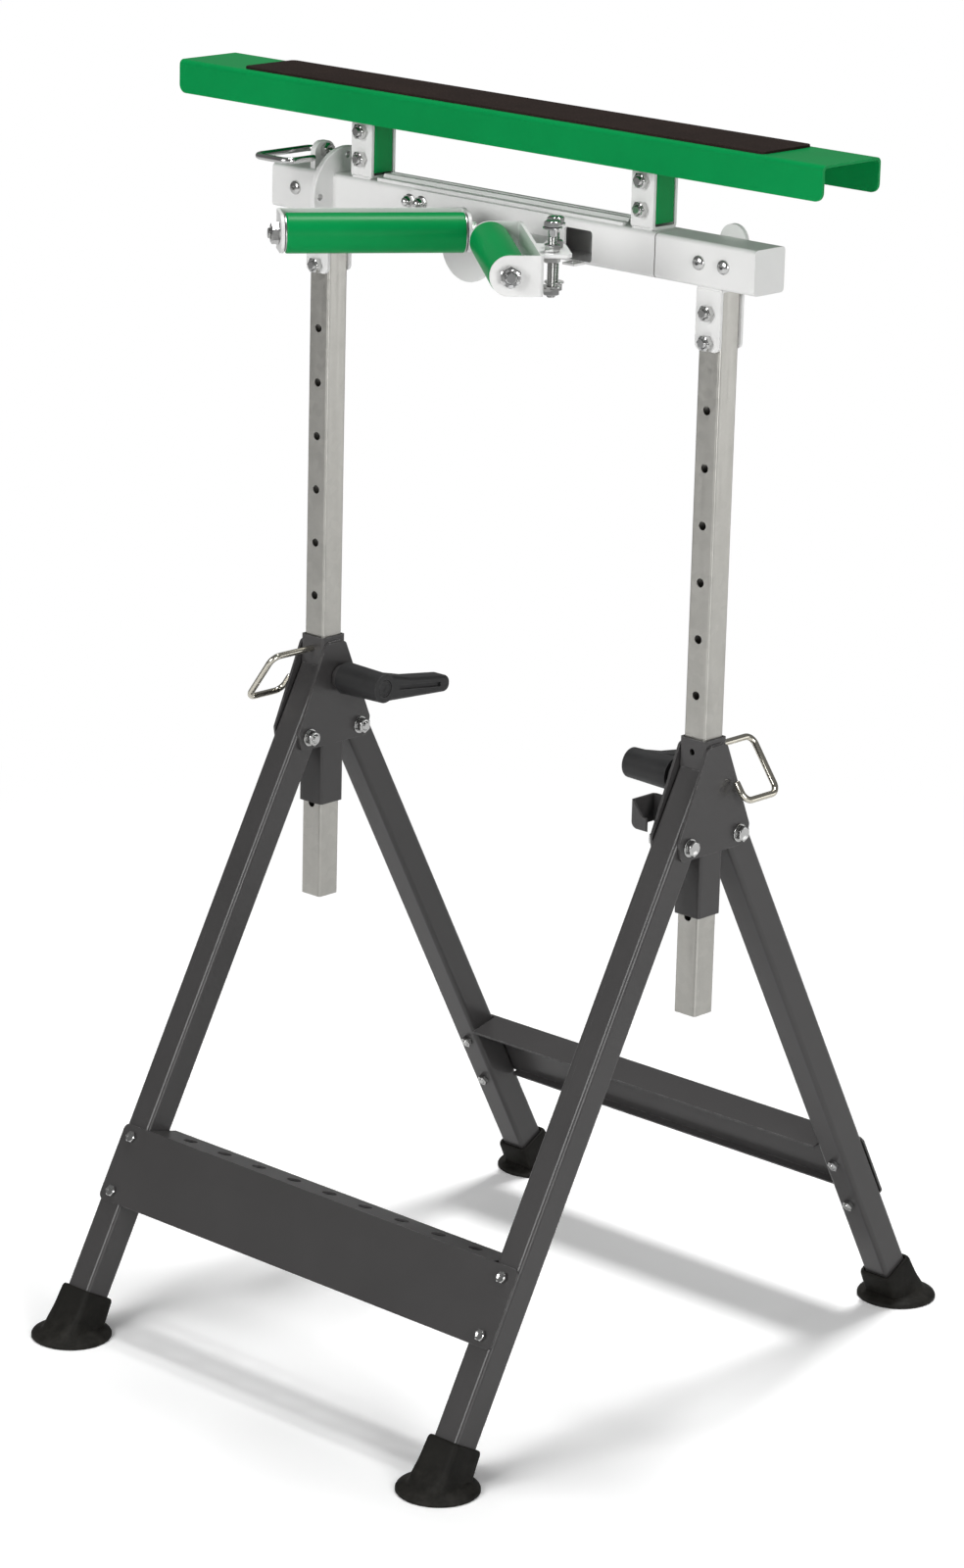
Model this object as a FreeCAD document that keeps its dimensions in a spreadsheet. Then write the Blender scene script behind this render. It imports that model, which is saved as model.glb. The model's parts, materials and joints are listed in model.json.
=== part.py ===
import FreeCAD, Part
import math
import os
import Sketcher

# Material support stand: two posts in folding legs, a turning head with a padded channel and two V rollers.
# Millimetres. Floor at z = 0, the front is -Y, the stand's own middle is x = 0.

SIZES = {
    # Posts and the sleeves that guide them
    "post_gap": 478, "post_shift": 12, "post_side": 25, "post_wall": 1.5, "post_corner": 2.5,
    "post_tail": 94, "post_length": 662, "post_hole": 8, "hole_steps": 9, "lock_steps_up": 3, "hole_margin": 53,
    "sleeve_side": 30, "sleeve_wall": 2, "sleeve_corner": 3, "sleeve_below": 72, "sleeve_above": 93,
    "lock_drop": 12,
    # Hinge plates on the sleeves and the legs between them
    "plate_thick": 2.5, "plate_top_drop": 6, "plate_top_half": 13, "plate_knee_rise": 6,
    "plate_half": 48, "plate_bottom_drop": 12, "plate_bottom_half": 45, "plate_corner": 5,
    "pivot_out": 34, "pivot_height": 535, "leg_tilt": 28.4, "leg_width": 29, "leg_depth": 30,
    "leg_wall": 1.5, "leg_corner": 4, "leg_mitre_gap": 0.4, "leg_spare": 90,
    # Rails on the outer leg faces
    "rail_thick": 2, "rail_lift": 110.2, "rail_height": 75, "rail_corner": 6, "rail_bolt_top_in": 11,
    "rail_bolt_low_in": 10, "shelf_depth": 36, "shelf_rise": 14.8, "shelf_clear": 2.5, "lip_depth": 9,
    "tool_hole": 14, "tool_margin": 38, "tool_steps": 8, "shelf_middle": 19,
    # Rubber feet
    "foot_radius": 38, "foot_rim": 5, "foot_shoulder": 27, "foot_shoulder_height": 11, "foot_neck": 22,
    "foot_crown": 22, "collar_wall": 4, "collar_start": 14, "collar_end": 62, "collar_corner": 6,
    "leg_end": 20, "rib_width": 6, "rib_height": 2.5, "collar_band": 7, "collar_band_height": 1.6,
    # End blocks, bearing bushes and stub shafts; places along x are counted from the nearest post
    "block_side": 40, "block_wall": 2.5, "block_corner": 4,
    "right_block_in": 59, "right_block_out": 54, "left_block_out": 56, "left_block_in": 14,
    "bush_side": 34.8, "bush_length": 58, "stub_radius": 14, "stub_reach": 56, "plug_length": 22,
    "bush_bolt_rise": 1, "right_bush_bolt_in": 9, "right_bush_bolt_out": 19, "left_bush_bolt_out": 25,
    "dome_radius": 6.5, "dome_height": 3.6, "dome_edge": 1, "dome_shank": 5,
    "lug_in": 5, "lug_half": 15, "lug_thick": 4, "lug_top": 31, "lug_low": 12,
    # Brackets that bolt the posts to the blocks and the uprights to the beam
    "bracket_sheet": 3, "post_bracket_width": 28, "post_bracket_drop": 56, "post_bolt_low_drop": 48.5,
    "post_bolt_high_drop": 22.3, "bracket_bend": 4, "bracket_ease": 1, "bracket_tip": 6, "bracket_fit": 0.1,
    "left_upright_in": 32.5, "right_upright_in": 19, "upright_width": 27, "upright_depth": 25,
    "upright_wall": 2, "upright_corner": 3, "upright_foot_gap": 5.5, "upright_bracket_width": 26,
    "upright_bracket_rise": 54, "upright_bolt_low_rise": 17.7, "upright_bolt_high_rise": 43,
    # Beam, its window and the strip on top
    "beam_end_gap": 1.5, "window_in": 72.5, "window_width": 33, "window_drop": 17, "window_rise": 11,
    "window_corner": 3, "tab_half": 7, "tab_out": 12, "tab_thick": 2,
    "tab_slot_half": 2.2, "tab_slot_start": 3, "tab_slot_end": 8.5,
    "strip_half": 16.5, "strip_left_in": 54, "strip_right_in": 40.5, "strip_edge": 3, "strip_ridge": 6,
    "strip_ridge_half": 7, "strip_slope": 2, "strip_groove_half": 2, "strip_groove_deep": 1.5,
    # Index plate, tab and pin
    "index_radius": 44, "index_in": 17, "index_thick": 6, "index_ease": 1, "index_hole_reach": 36,
    "index_hole": 6.8, "index_hub": 17.4, "index_hub_length": 12,
    "index_tab_out": 13, "index_tab_thick": 6, "index_tab_half": 13, "index_tab_rise": 45,
    "index_tab_round": 11, "guide_nut_long": 7,
    "index_travel_gap": 0.5, "index_corner_out": 27, "index_bend": 5, "index_bail_out": 72,
    "index_bail_side": 44, "index_bail_back": 34,
    # Channel and rubber pad
    "channel_half_length": 390, "channel_half": 38.5, "channel_rise": 106, "channel_depth": 31,
    "channel_sheet": 2.5, "channel_bend": 5, "channel_end_round": 8,
    "pad_end": 75, "pad_shift": 5, "pad_half": 33, "pad_thick": 2.5, "pad_corner": 6,
    # Rollers, their axles and brackets
    "roller_length": 160, "roller_radius": 18, "roller_bore": 15, "roller_ease": 1.5, "cap_lip": 1,
    "cap_depth": 10, "cap_lip_radius": 16.2, "roller_end_gap": 1, "ear_sheet": 3, "ear_radius": 17.5,
    "ear_round": 17.3, "ear_back": 26,
    "left_roller_x": 42, "left_roller_y": 129.5, "left_roller_angle": 52,
    "right_roller_x": 113.4, "right_roller_y": 134.5, "right_roller_angle": 41,
    "axle_radius": 5, "axle_across": 17, "axle_head": 6.4, "axle_nut": 8, "axle_tail": 2.5,
    "flange_start": 24, "flange_end": 78, "flange_out": 25, "flange_corner": 6,
    "adjuster_a": 62, "adjuster_a_back": 38, "adjuster_b": 41, "adjuster_b_back": 43,
    "adjuster_rise": 38.7, "adjuster_drop": 22,
    # Roller carrier on the beam front
    "carrier_thick": 3, "carrier_left": 103, "carrier_right": 72, "lobe_x": 29, "lobe_drop": 23,
    "lobe_radius": 32, "web_thick": 4, "web_left": 95, "web_overrun": 87, "web_left_reach": 0,
    "web_right_reach": 20, "carrier_bolt_a": 101.6, "carrier_bolt_b": 86.9, "carrier_bolt_rise": 9,
    "carrier_edge_round": 5, "flange_head_radius": 6.6, "flange_head_thick": 1.5, "crown_radius": 4.6,
    # Clamp levers, their screws and nuts
    "clamp_drop": 28, "clamp_aside": 6, "boss_radius": 11, "boss_length": 8, "clamp_shank": 10,
    "clamp_gap": 0.4, "clamp_tip_gap": 0.3, "hub_radius": 15.5, "hub_end_radius": 14, "hub_length": 52,
    "hub_recess_radius": 8.5, "hub_recess_deep": 6, "arm_start": 32, "arm_waist": 36, "arm_waist_half": 7.5,
    "arm_waist_droop": 3, "arm_root_half": 13.5, "arm_length": 90, "arm_droop": 11, "arm_tip_half": 8,
    "arm_round": 7.4, "arm_edge": 3.5, "arm_groove_start": 20, "arm_groove_end": 76, "arm_groove_half": 2.2,
    "arm_groove_deep": 2, "screw_head_radius": 7, "screw_head_height": 3.5,
    # Wire lock pins
    "wire": 6, "lock_tip": 13, "lock_straight": 54, "lock_run": 57, "lock_return": 45, "lock_up": 20,
    "lock_lean": 36, "wire_bend": 9,
    # Catch bracket
    "catch_front": 54, "catch_back": 22, "catch_rise": 10, "catch_height": 27, "catch_slope_drop": 14,
    "catch_slope_in": 5, "catch_out": 19, "catch_sheet": 2.5, "catch_bend": 3.5, "catch_round": 7,
    # Hexagon fasteners: the common size, the small size
    "bolt_shank": 8, "bolt_across": 13, "bolt_head": 5.3, "bolt_nut": 6.5, "bolt_tail": 2,
    "washer_radius": 8.5, "washer_thick": 1.6,
    "small_shank": 6, "small_across": 10, "small_head": 4, "small_nut": 5, "small_tail": 0.5,
    # Clearances and angles
    "run_fit": 0.05, "bolt_clear": 0.1, "loose_clear": 0.4, "sock_clear": 0.1,
    "hex_half_angle": 30, "half_turn": 180,
}

HEX_SIDES = 6
X = FreeCAD.Vector(1, 0, 0)
Y = FreeCAD.Vector(0, 1, 0)
Z = FreeCAD.Vector(0, 0, 1)
ALONG = {"+x": X, "-x": -X, "+y": Y, "-y": -Y, "+z": Z, "-z": -Z}

doc = FreeCAD.newDocument("MaterialSupportStand")
sheet = doc.addObject("Spreadsheet::Sheet", "sizes")
for row, (name, value) in enumerate(SIZES.items(), start=1):
    sheet.set(f"A{row}", name)
    sheet.set(f"B{row}", str(value))
    sheet.setAlias(f"B{row}", name)
doc.recompute()


class Length:
    """A number kept together with the sheet formula that gives it."""

    def __init__(self, value, text):
        self.value = value
        self.text = text

    def __add__(self, other):
        other = as_length(other)
        return Length(self.value + other.value, f"({self.text} + {other.text})")

    def __sub__(self, other):
        other = as_length(other)
        return Length(self.value - other.value, f"({self.text} - {other.text})")

    def __mul__(self, other):
        other = as_length(other)
        return Length(self.value * other.value, f"({self.text} * {other.text})")

    def __truediv__(self, other):
        other = as_length(other)
        return Length(self.value / other.value, f"({self.text} / {other.text})")

    def __neg__(self):
        return Length(-self.value, f"(0 - {self.text})")

    __rmul__ = __mul__


class Named:
    """The sheet's sizes by name, each one as a Length."""

    def __getattr__(self, name):
        return Length(SIZES[name], f"sizes.{name}")


size = Named()
nodes = []


def as_length(number):
    return number if isinstance(number, Length) else Length(number, str(number))


def sine(angle):
    return Length(math.sin(math.radians(angle.value)), f"sin({angle.text})")


def cosine(angle):
    return Length(math.cos(math.radians(angle.value)), f"cos({angle.text})")


def bind(target, name, length):
    target.setExpression(name, as_length(length).text)


def place(target, x, y, z, turn=None, axis=None, angle=None):
    """Put an object at sheet-driven coordinates, turned whole or by a sheet-driven angle about an axis."""
    spot = [as_length(number) for number in (x, y, z)]
    rotation = turn or FreeCAD.Rotation()
    if axis is not None:
        rotation = FreeCAD.Rotation(axis, angle.value)
    target.Placement = FreeCAD.Placement(FreeCAD.Vector(*[number.value for number in spot]), rotation)
    for letter, number in zip("xyz", spot):
        bind(target, f"Placement.Base.{letter}", number)
    if axis is not None and angle.value:
        bind(target, "Placement.Rotation.Angle", angle)


def facing(direction):
    return FreeCAD.Rotation(Z, ALONG[direction])


def node(target):
    nodes.append(target)
    return target


def body(label, x=0, y=0, z=0, axis=None, angle=None):
    made = doc.addObject("PartDesign::Body", label)
    made.Label = label
    place(made, x, y, z, None, axis, angle)
    return node(made)


def origin_part(owner, role):
    return next(part for part in owner.Origin.OriginFeatures if part.Role == role)


def hold(drawing, shape, end, u, v):
    """Hold one point of a drawn shape at sheet-driven coordinates."""
    for kind, wanted in (("DistanceX", u), ("DistanceY", v)):
        number = drawing.addConstraint(Sketcher.Constraint(kind, -1, 1, shape, end, wanted.value))
        drawing.setExpression(f"Constraints[{number}]", wanted.text)


def hold_radius(drawing, shape, radius):
    number = drawing.addConstraint(Sketcher.Constraint("Radius", shape, radius.value))
    drawing.setExpression(f"Constraints[{number}]", radius.text)


def toward(corner, other, distance):
    """The point on a square corner's leg, one radius from the corner toward its neighbour."""
    along = other[0].value - corner[0].value
    across = other[1].value - corner[1].value
    if abs(along) > abs(across):
        return (corner[0] + distance if along > 0 else corner[0] - distance, corner[1])
    return (corner[0], corner[1] + distance if across > 0 else corner[1] - distance)


def vector(point):
    return FreeCAD.Vector(point[0].value, point[1].value, 0)


def draw_path(drawing, corners, closed):
    """Straight lines through the corners; a corner with a third value is square and rounded by it."""
    corners = [tuple(as_length(number) for number in corner) for corner in corners]
    count = len(corners)
    joins = []
    for index, corner in enumerate(corners):
        if len(corner) == 2:
            joins.append((corner, corner))
        else:
            before = toward(corner, corners[index - 1], corner[2])
            after = toward(corner, corners[(index + 1) % count], corner[2])
            joins.append((before, after))
    lines = []
    for index in range(count if closed else count - 1):
        following = (index + 1) % count
        start = joins[index][1]
        end = joins[following][0]
        line = drawing.addGeometry(Part.LineSegment(vector(start), vector(end)), False)
        lines.append(line)
        hold(drawing, line, 1, *start)
        if len(corners[following]) == 3 or (not closed and following == count - 1):
            hold(drawing, line, 2, *end)
    for index, corner in enumerate(corners):
        if not closed and index in (0, count - 1):
            continue
        before = lines[index - 1]
        after = lines[index]
        if len(corner) == 2:
            drawing.addConstraint(Sketcher.Constraint("Coincident", before, 2, after, 1))
            continue
        start = vector(joins[index][0])
        end = vector(joins[index][1])
        point = vector(corner)
        centre = start + end - point
        left_turn = (point - start).cross(end - point).z > 0
        first, last = (start, end) if left_turn else (end, start)
        angles = [math.atan2(spot.y - centre.y, spot.x - centre.x) for spot in (first, last)]
        circle = Part.Circle(centre, Z, corner[2].value)
        arc = drawing.addGeometry(Part.ArcOfCircle(circle, *angles), False)
        drawing.addConstraint(Sketcher.Constraint("Coincident", before, 2, arc, 1 if left_turn else 2))
        drawing.addConstraint(Sketcher.Constraint("Coincident", arc, 2 if left_turn else 1, after, 1))
        hold_radius(drawing, arc, corner[2])


def sketch(owner, name, plane, loops=(), rings=(), offset=0, closed=True):
    """A sketch on one of the body's own planes, holding corner loops and rings (u, v, radius)."""
    made = owner.newObject("Sketcher::SketchObject", name)
    made.AttachmentSupport = (origin_part(owner, plane), [""])
    made.MapMode = "FlatFace"
    bind(made, "AttachmentOffset.Base.z", offset)
    for corners in loops:
        draw_path(made, corners, closed)
    for ring in rings:
        u, v, radius = [as_length(number) for number in ring]
        circle = Part.Circle(FreeCAD.Vector(u.value, v.value, 0), Z, radius.value)
        shape = made.addGeometry(circle, False)
        hold(made, shape, 3, u, v)
        hold_radius(made, shape, radius)
    return made


def rectangle(width, depth, corner=None, u=0, v=0):
    u = as_length(u)
    v = as_length(v)
    ends = ((-1, -1), (1, -1), (1, 1), (-1, 1))
    corners = [(u + width / 2 * right, v + depth / 2 * up) for right, up in ends]
    return corners if corner is None else [spot + (corner,) for spot in corners]


def box_loop(u0, v0, u1, v1, corner=None):
    corners = [(u0, v0), (u1, v0), (u1, v1), (u0, v1)]
    return corners if corner is None else [spot + (corner,) for spot in corners]


def pad(owner, name, drawing, depth, middle=False, backward=False):
    made = owner.newObject("PartDesign::Pad", name)
    made.Profile = drawing
    bind(made, "Length", depth)
    made.Midplane = middle
    made.Reversed = backward
    return made


def pocket(owner, name, drawing, depth, middle=False, backward=False):
    made = owner.newObject("PartDesign::Pocket", name)
    made.Profile = drawing
    bind(made, "Length", depth)
    made.Midplane = middle
    made.Reversed = backward
    return made


def turned(owner, name, drawing, axis):
    """A solid of revolution about one of the sketch's own axes."""
    made = owner.newObject("PartDesign::Revolution", name)
    made.Profile = drawing
    made.ReferenceAxis = (drawing, [axis])
    return made


def bore(owner, name, x, y, z, direction, radius, depth):
    made = owner.newObject("PartDesign::SubtractiveCylinder", name)
    place(made, x, y, z, facing(direction))
    bind(made, "Radius", radius)
    bind(made, "Height", depth)
    return made


def repeat(owner, name, feature, role, reach, count):
    made = owner.newObject("PartDesign::LinearPattern", name)
    made.Originals = [feature]
    made.Direction = (origin_part(owner, role), [""])
    bind(made, "Length", reach)
    bind(made, "Occurrences", count)
    owner.Tip = made
    return made


def round_edges(owner, name, radius, chosen):
    """Round the edges of the body so far that pass the test."""
    doc.recompute()
    base = owner.Tip
    edges = [f"Edge{number}" for number, edge in enumerate(base.Shape.Edges, start=1) if chosen(edge)]
    made = owner.newObject("PartDesign::Fillet", name)
    made.Base = (base, edges)
    bind(made, "Radius", radius)
    return made


def runs(edge, axis):
    """Whether an edge is straight and lies along the axis."""
    if edge.Curve.TypeId != "Part::GeomLine":
        return False
    return edge.tangentAt(edge.FirstParameter).cross(axis).Length < Part.Precision.confusion() * len(nodes)


def near(number, length):
    return abs(number - as_length(length).value) < SIZES["loose_clear"]


def ring_of(edge, radius):
    """Whether an edge is a circle of the given radius."""
    return edge.Curve.TypeId == "Part::GeomCircle" and near(edge.Curve.Radius, radius)


def middle_of(edge):
    return edge.valueAt((edge.FirstParameter + edge.LastParameter) / 2)


def square_tube(owner, plane, width, depth, wall, corner, start, length):
    """A square tube with rounded corners, drawn as two loops and padded once."""
    loops = [rectangle(width, depth, corner), rectangle(width - wall * 2, depth - wall * 2, corner - wall)]
    return pad(owner, "tube", sketch(owner, "section", plane, loops, offset=start), length)


def wire_form(owner, corners):
    """Round wire swept along a drawn path of straight runs and bends; the path starts along the sketch's u."""
    path = sketch(owner, "path", "YZ_Plane", [corners], closed=False)
    start = -as_length(corners[0][0])
    section = sketch(owner, "section", "XZ_Plane", rings=[(0, 0, size.wire / 2)], offset=start)
    made = owner.newObject("PartDesign::AdditivePipe", "wire")
    made.Profile = section
    made.Spine = (path, [f"Edge{number}" for number in range(1, path.GeometryCount + 1)])
    return made


def hexagon(name, across, height):
    made = doc.addObject("Part::Prism", name)
    made.Polygon = HEX_SIDES
    bind(made, "Circumradius", across / 2 / cosine(size.hex_half_angle))
    bind(made, "Height", height)
    return made


def rod(name, radius, height):
    made = doc.addObject("Part::Cylinder", name)
    bind(made, "Radius", radius)
    bind(made, "Height", height)
    return made


def hex_bolt(name, spot, direction, kind, length):
    """A hexagon bolt whose head sits on the spot and whose shank runs along the direction."""
    shank, across, head = kind[:3]
    cap = hexagon(f"{name}_head", across, head)
    place(cap, 0, 0, -head)
    made = doc.addObject("Part::MultiFuse", name)
    made.Shapes = [cap, rod(f"{name}_shank", shank / 2, length)]
    place(made, *spot, facing(direction))
    return made


def hex_nut(name, spot, direction, kind):
    """A hexagon nut that starts at the spot and stands along the direction."""
    shank, across, head, height = kind
    made = doc.addObject("Part::Cut", name)
    made.Base = hexagon(f"{name}_blank", across, height)
    made.Tool = rod(f"{name}_bore", shank / 2 + size.run_fit, height)
    place(made, *spot, facing(direction))
    return made


def washer(name, spot, direction):
    made = doc.addObject("Part::Cut", name)
    made.Base = rod(f"{name}_blank", size.washer_radius, size.washer_thick)
    made.Tool = rod(f"{name}_bore", size.bolt_shank / 2 + size.run_fit, size.washer_thick)
    place(made, *spot, facing(direction))
    return made


def moved(spot, direction, distance):
    """The spot moved by a distance along one of the main directions."""
    sign = 1 if direction[0] == "+" else -1
    index = "xyz".index(direction[1])
    result = [as_length(number) for number in spot]
    result[index] = result[index] + distance * sign
    return result


def bolted(name, spot, direction, kind, grip, tail, washers=False):
    """A bolt, its nut and, where asked, a washer under each, through a stack of the given grip."""
    pieces = []
    seat = moved(spot, direction, -size.washer_thick) if washers else spot
    back = moved(spot, direction, grip)
    if washers:
        pieces.append(washer(f"{name}_washer_a", seat, direction))
        pieces.append(washer(f"{name}_washer_b", back, direction))
        back = moved(back, direction, size.washer_thick)
        grip = grip + size.washer_thick * 2
    pieces.append(hex_bolt(f"{name}_bolt", seat, direction, kind, grip + kind[3] + tail))
    pieces.append(hex_nut(f"{name}_nut", back, direction, kind))
    return pieces


def group(label, pieces, x=0, y=0, z=0, axis=None, angle=None):
    made = doc.addObject("Part::Compound", label)
    made.Label = label
    made.Links = pieces
    place(made, x, y, z, None, axis, angle)
    return node(made)


COMMON = (size.bolt_shank, size.bolt_across, size.bolt_head, size.bolt_nut)
SMALL = (size.small_shank, size.small_across, size.small_head, size.small_nut)
AXLE = (size.axle_radius * 2, size.axle_across, size.axle_head, size.axle_nut)

# Heights, counted up from the leg pivots, and places along x, counted from the posts
sleeve_bottom = size.pivot_height - size.sleeve_below
sleeve_top = size.pivot_height + size.sleeve_above
lock_height = sleeve_top - size.lock_drop
clamp_height = lock_height - size.clamp_drop
post_bottom = sleeve_bottom - size.post_tail
block_low = post_bottom + size.post_length + size.bracket_sheet
axis_height = block_low + size.block_side / 2
beam_top = axis_height + size.block_side / 2
channel_top = axis_height + size.channel_rise
left_post_x = size.post_shift - size.post_gap / 2
right_post_x = size.post_shift + size.post_gap / 2
left_block_end = left_post_x + size.left_block_in
right_block_start = right_post_x - size.right_block_in
index_face = left_post_x + size.index_in
beam_start = index_face + size.index_thick
beam_end = right_block_start - size.beam_end_gap

# A side is its name, its post's x and the sign of the way to the stand's middle.
SIDES = (("left", left_post_x, 1), ("right", right_post_x, -1))
# An end is its name and the sign of the way inward along y.
ENDS = (("front", 1), ("rear", -1))
HEAD = dict(x=0, y=0, z=axis_height)

# Sleeves with their lock bores and clamp bores
plate_face = size.sleeve_side / 2 + size.plate_thick
for side, post_x, inner in SIDES:
    sleeve = body(f"{side}_sleeve", post_x)
    square_tube(sleeve, "XY_Plane", size.sleeve_side, size.sleeve_side, size.sleeve_wall, size.sleeve_corner,
                sleeve_bottom, sleeve_top - sleeve_bottom)
    bore(sleeve, "lock_bore", 0, -size.sleeve_side, lock_height, "+y", size.wire / 2 + size.run_fit,
         size.sleeve_side * 2)
    bore(sleeve, "clamp_bore", 0, size.clamp_aside * inner, clamp_height, "+x" if inner > 0 else "-x",
         size.clamp_shank / 2 + size.loose_clear, size.sleeve_side)
    clamp_bores = size.clamp_shank / 2 + size.loose_clear
    for where, sign in (("inner", inner), ("outer", -inner)):
        plate = body(f"{side}_{where}_hinge_plate", post_x + size.sleeve_side / 2 * sign)
        half = [(size.plate_top_half, sleeve_top - size.plate_top_drop),
                (size.plate_half, size.pivot_height + size.plate_knee_rise),
                (size.plate_bottom_half, size.pivot_height - size.plate_bottom_drop)]
        loop = half + [(-u, v) for u, v in reversed(half)]
        pivot_hole = size.bolt_shank / 2 + size.run_fit
        pivots = [(size.pivot_out * way, size.pivot_height, pivot_hole) for way in (1, -1)]
        if where == "inner":
            pivots.append((size.clamp_aside * inner, clamp_height, clamp_bores))
        drawing = sketch(plate, "outline", "YZ_Plane", [loop], pivots)
        pad(plate, "sheet", drawing, size.plate_thick, backward=sign < 0)
        round_edges(plate, "corners", size.plate_corner, lambda edge: runs(edge, X))

# Leg pivots, with a washer on both sides of each pair of plates
pieces = []
for side, post_x, inner in SIDES:
    for end, way in ENDS:
        spot = (post_x - plate_face * inner, -size.pivot_out * way, size.pivot_height)
        pieces += bolted(f"{side}_{end}_pivot", spot, "+x" if inner > 0 else "-x", COMMON, plate_face * 2,
                         size.bolt_tail, washers=True)
group("leg_pivot_fasteners", pieces)

# Clamp nuts welded to the inner hinge plates
pieces = []
for side, post_x, inner in SIDES:
    boss = doc.addObject("Part::Cut", f"{side}_clamp_boss")
    boss.Base = rod(f"{side}_boss_blank", size.boss_radius, size.boss_length)
    boss.Tool = rod(f"{side}_boss_bore", size.clamp_shank / 2 + size.run_fit, size.boss_length)
    place(boss, post_x + plate_face * inner, size.clamp_aside * inner, clamp_height,
          facing("+x" if inner > 0 else "-x"))
    pieces.append(boss)
group("clamp_nuts", pieces)

# Catch bracket on the right inner hinge plate, a bent strip whose front wall slopes down to the plate
catch = body("catch_bracket", right_post_x - plate_face, 0, size.pivot_height + size.catch_rise)
wall = size.catch_sheet
loop = [(0, 0), (0, size.catch_height), (-size.catch_out, size.catch_height),
        (-size.catch_out, 0, size.catch_round)]
drawing = sketch(catch, "side", "XZ_Plane", [loop], offset=size.catch_back)
pad(catch, "strip", drawing, size.catch_front - size.catch_back)
round_edges(catch, "bends", size.catch_bend,
            lambda edge: runs(edge, Z) and near(middle_of(edge).x, -size.catch_out))
loop = box_loop(-size.catch_out + wall, -size.catch_front + wall, wall, -size.catch_back - wall)
drawing = sketch(catch, "hollow_outline", "XY_Plane", [loop])
pocket(catch, "hollow", drawing, size.catch_height, backward=True)
slope = [(-size.catch_out + wall, size.catch_height), (wall, size.catch_height),
         (wall, size.catch_height - size.catch_slope_drop),
         (-size.catch_slope_in, size.catch_height - size.catch_slope_drop)]
middle = (size.catch_front + size.catch_back) / 2
drawing = sketch(catch, "slope_line", "XZ_Plane", [slope], offset=middle)
pocket(catch, "slope", drawing, size.catch_front, backward=True)

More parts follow.
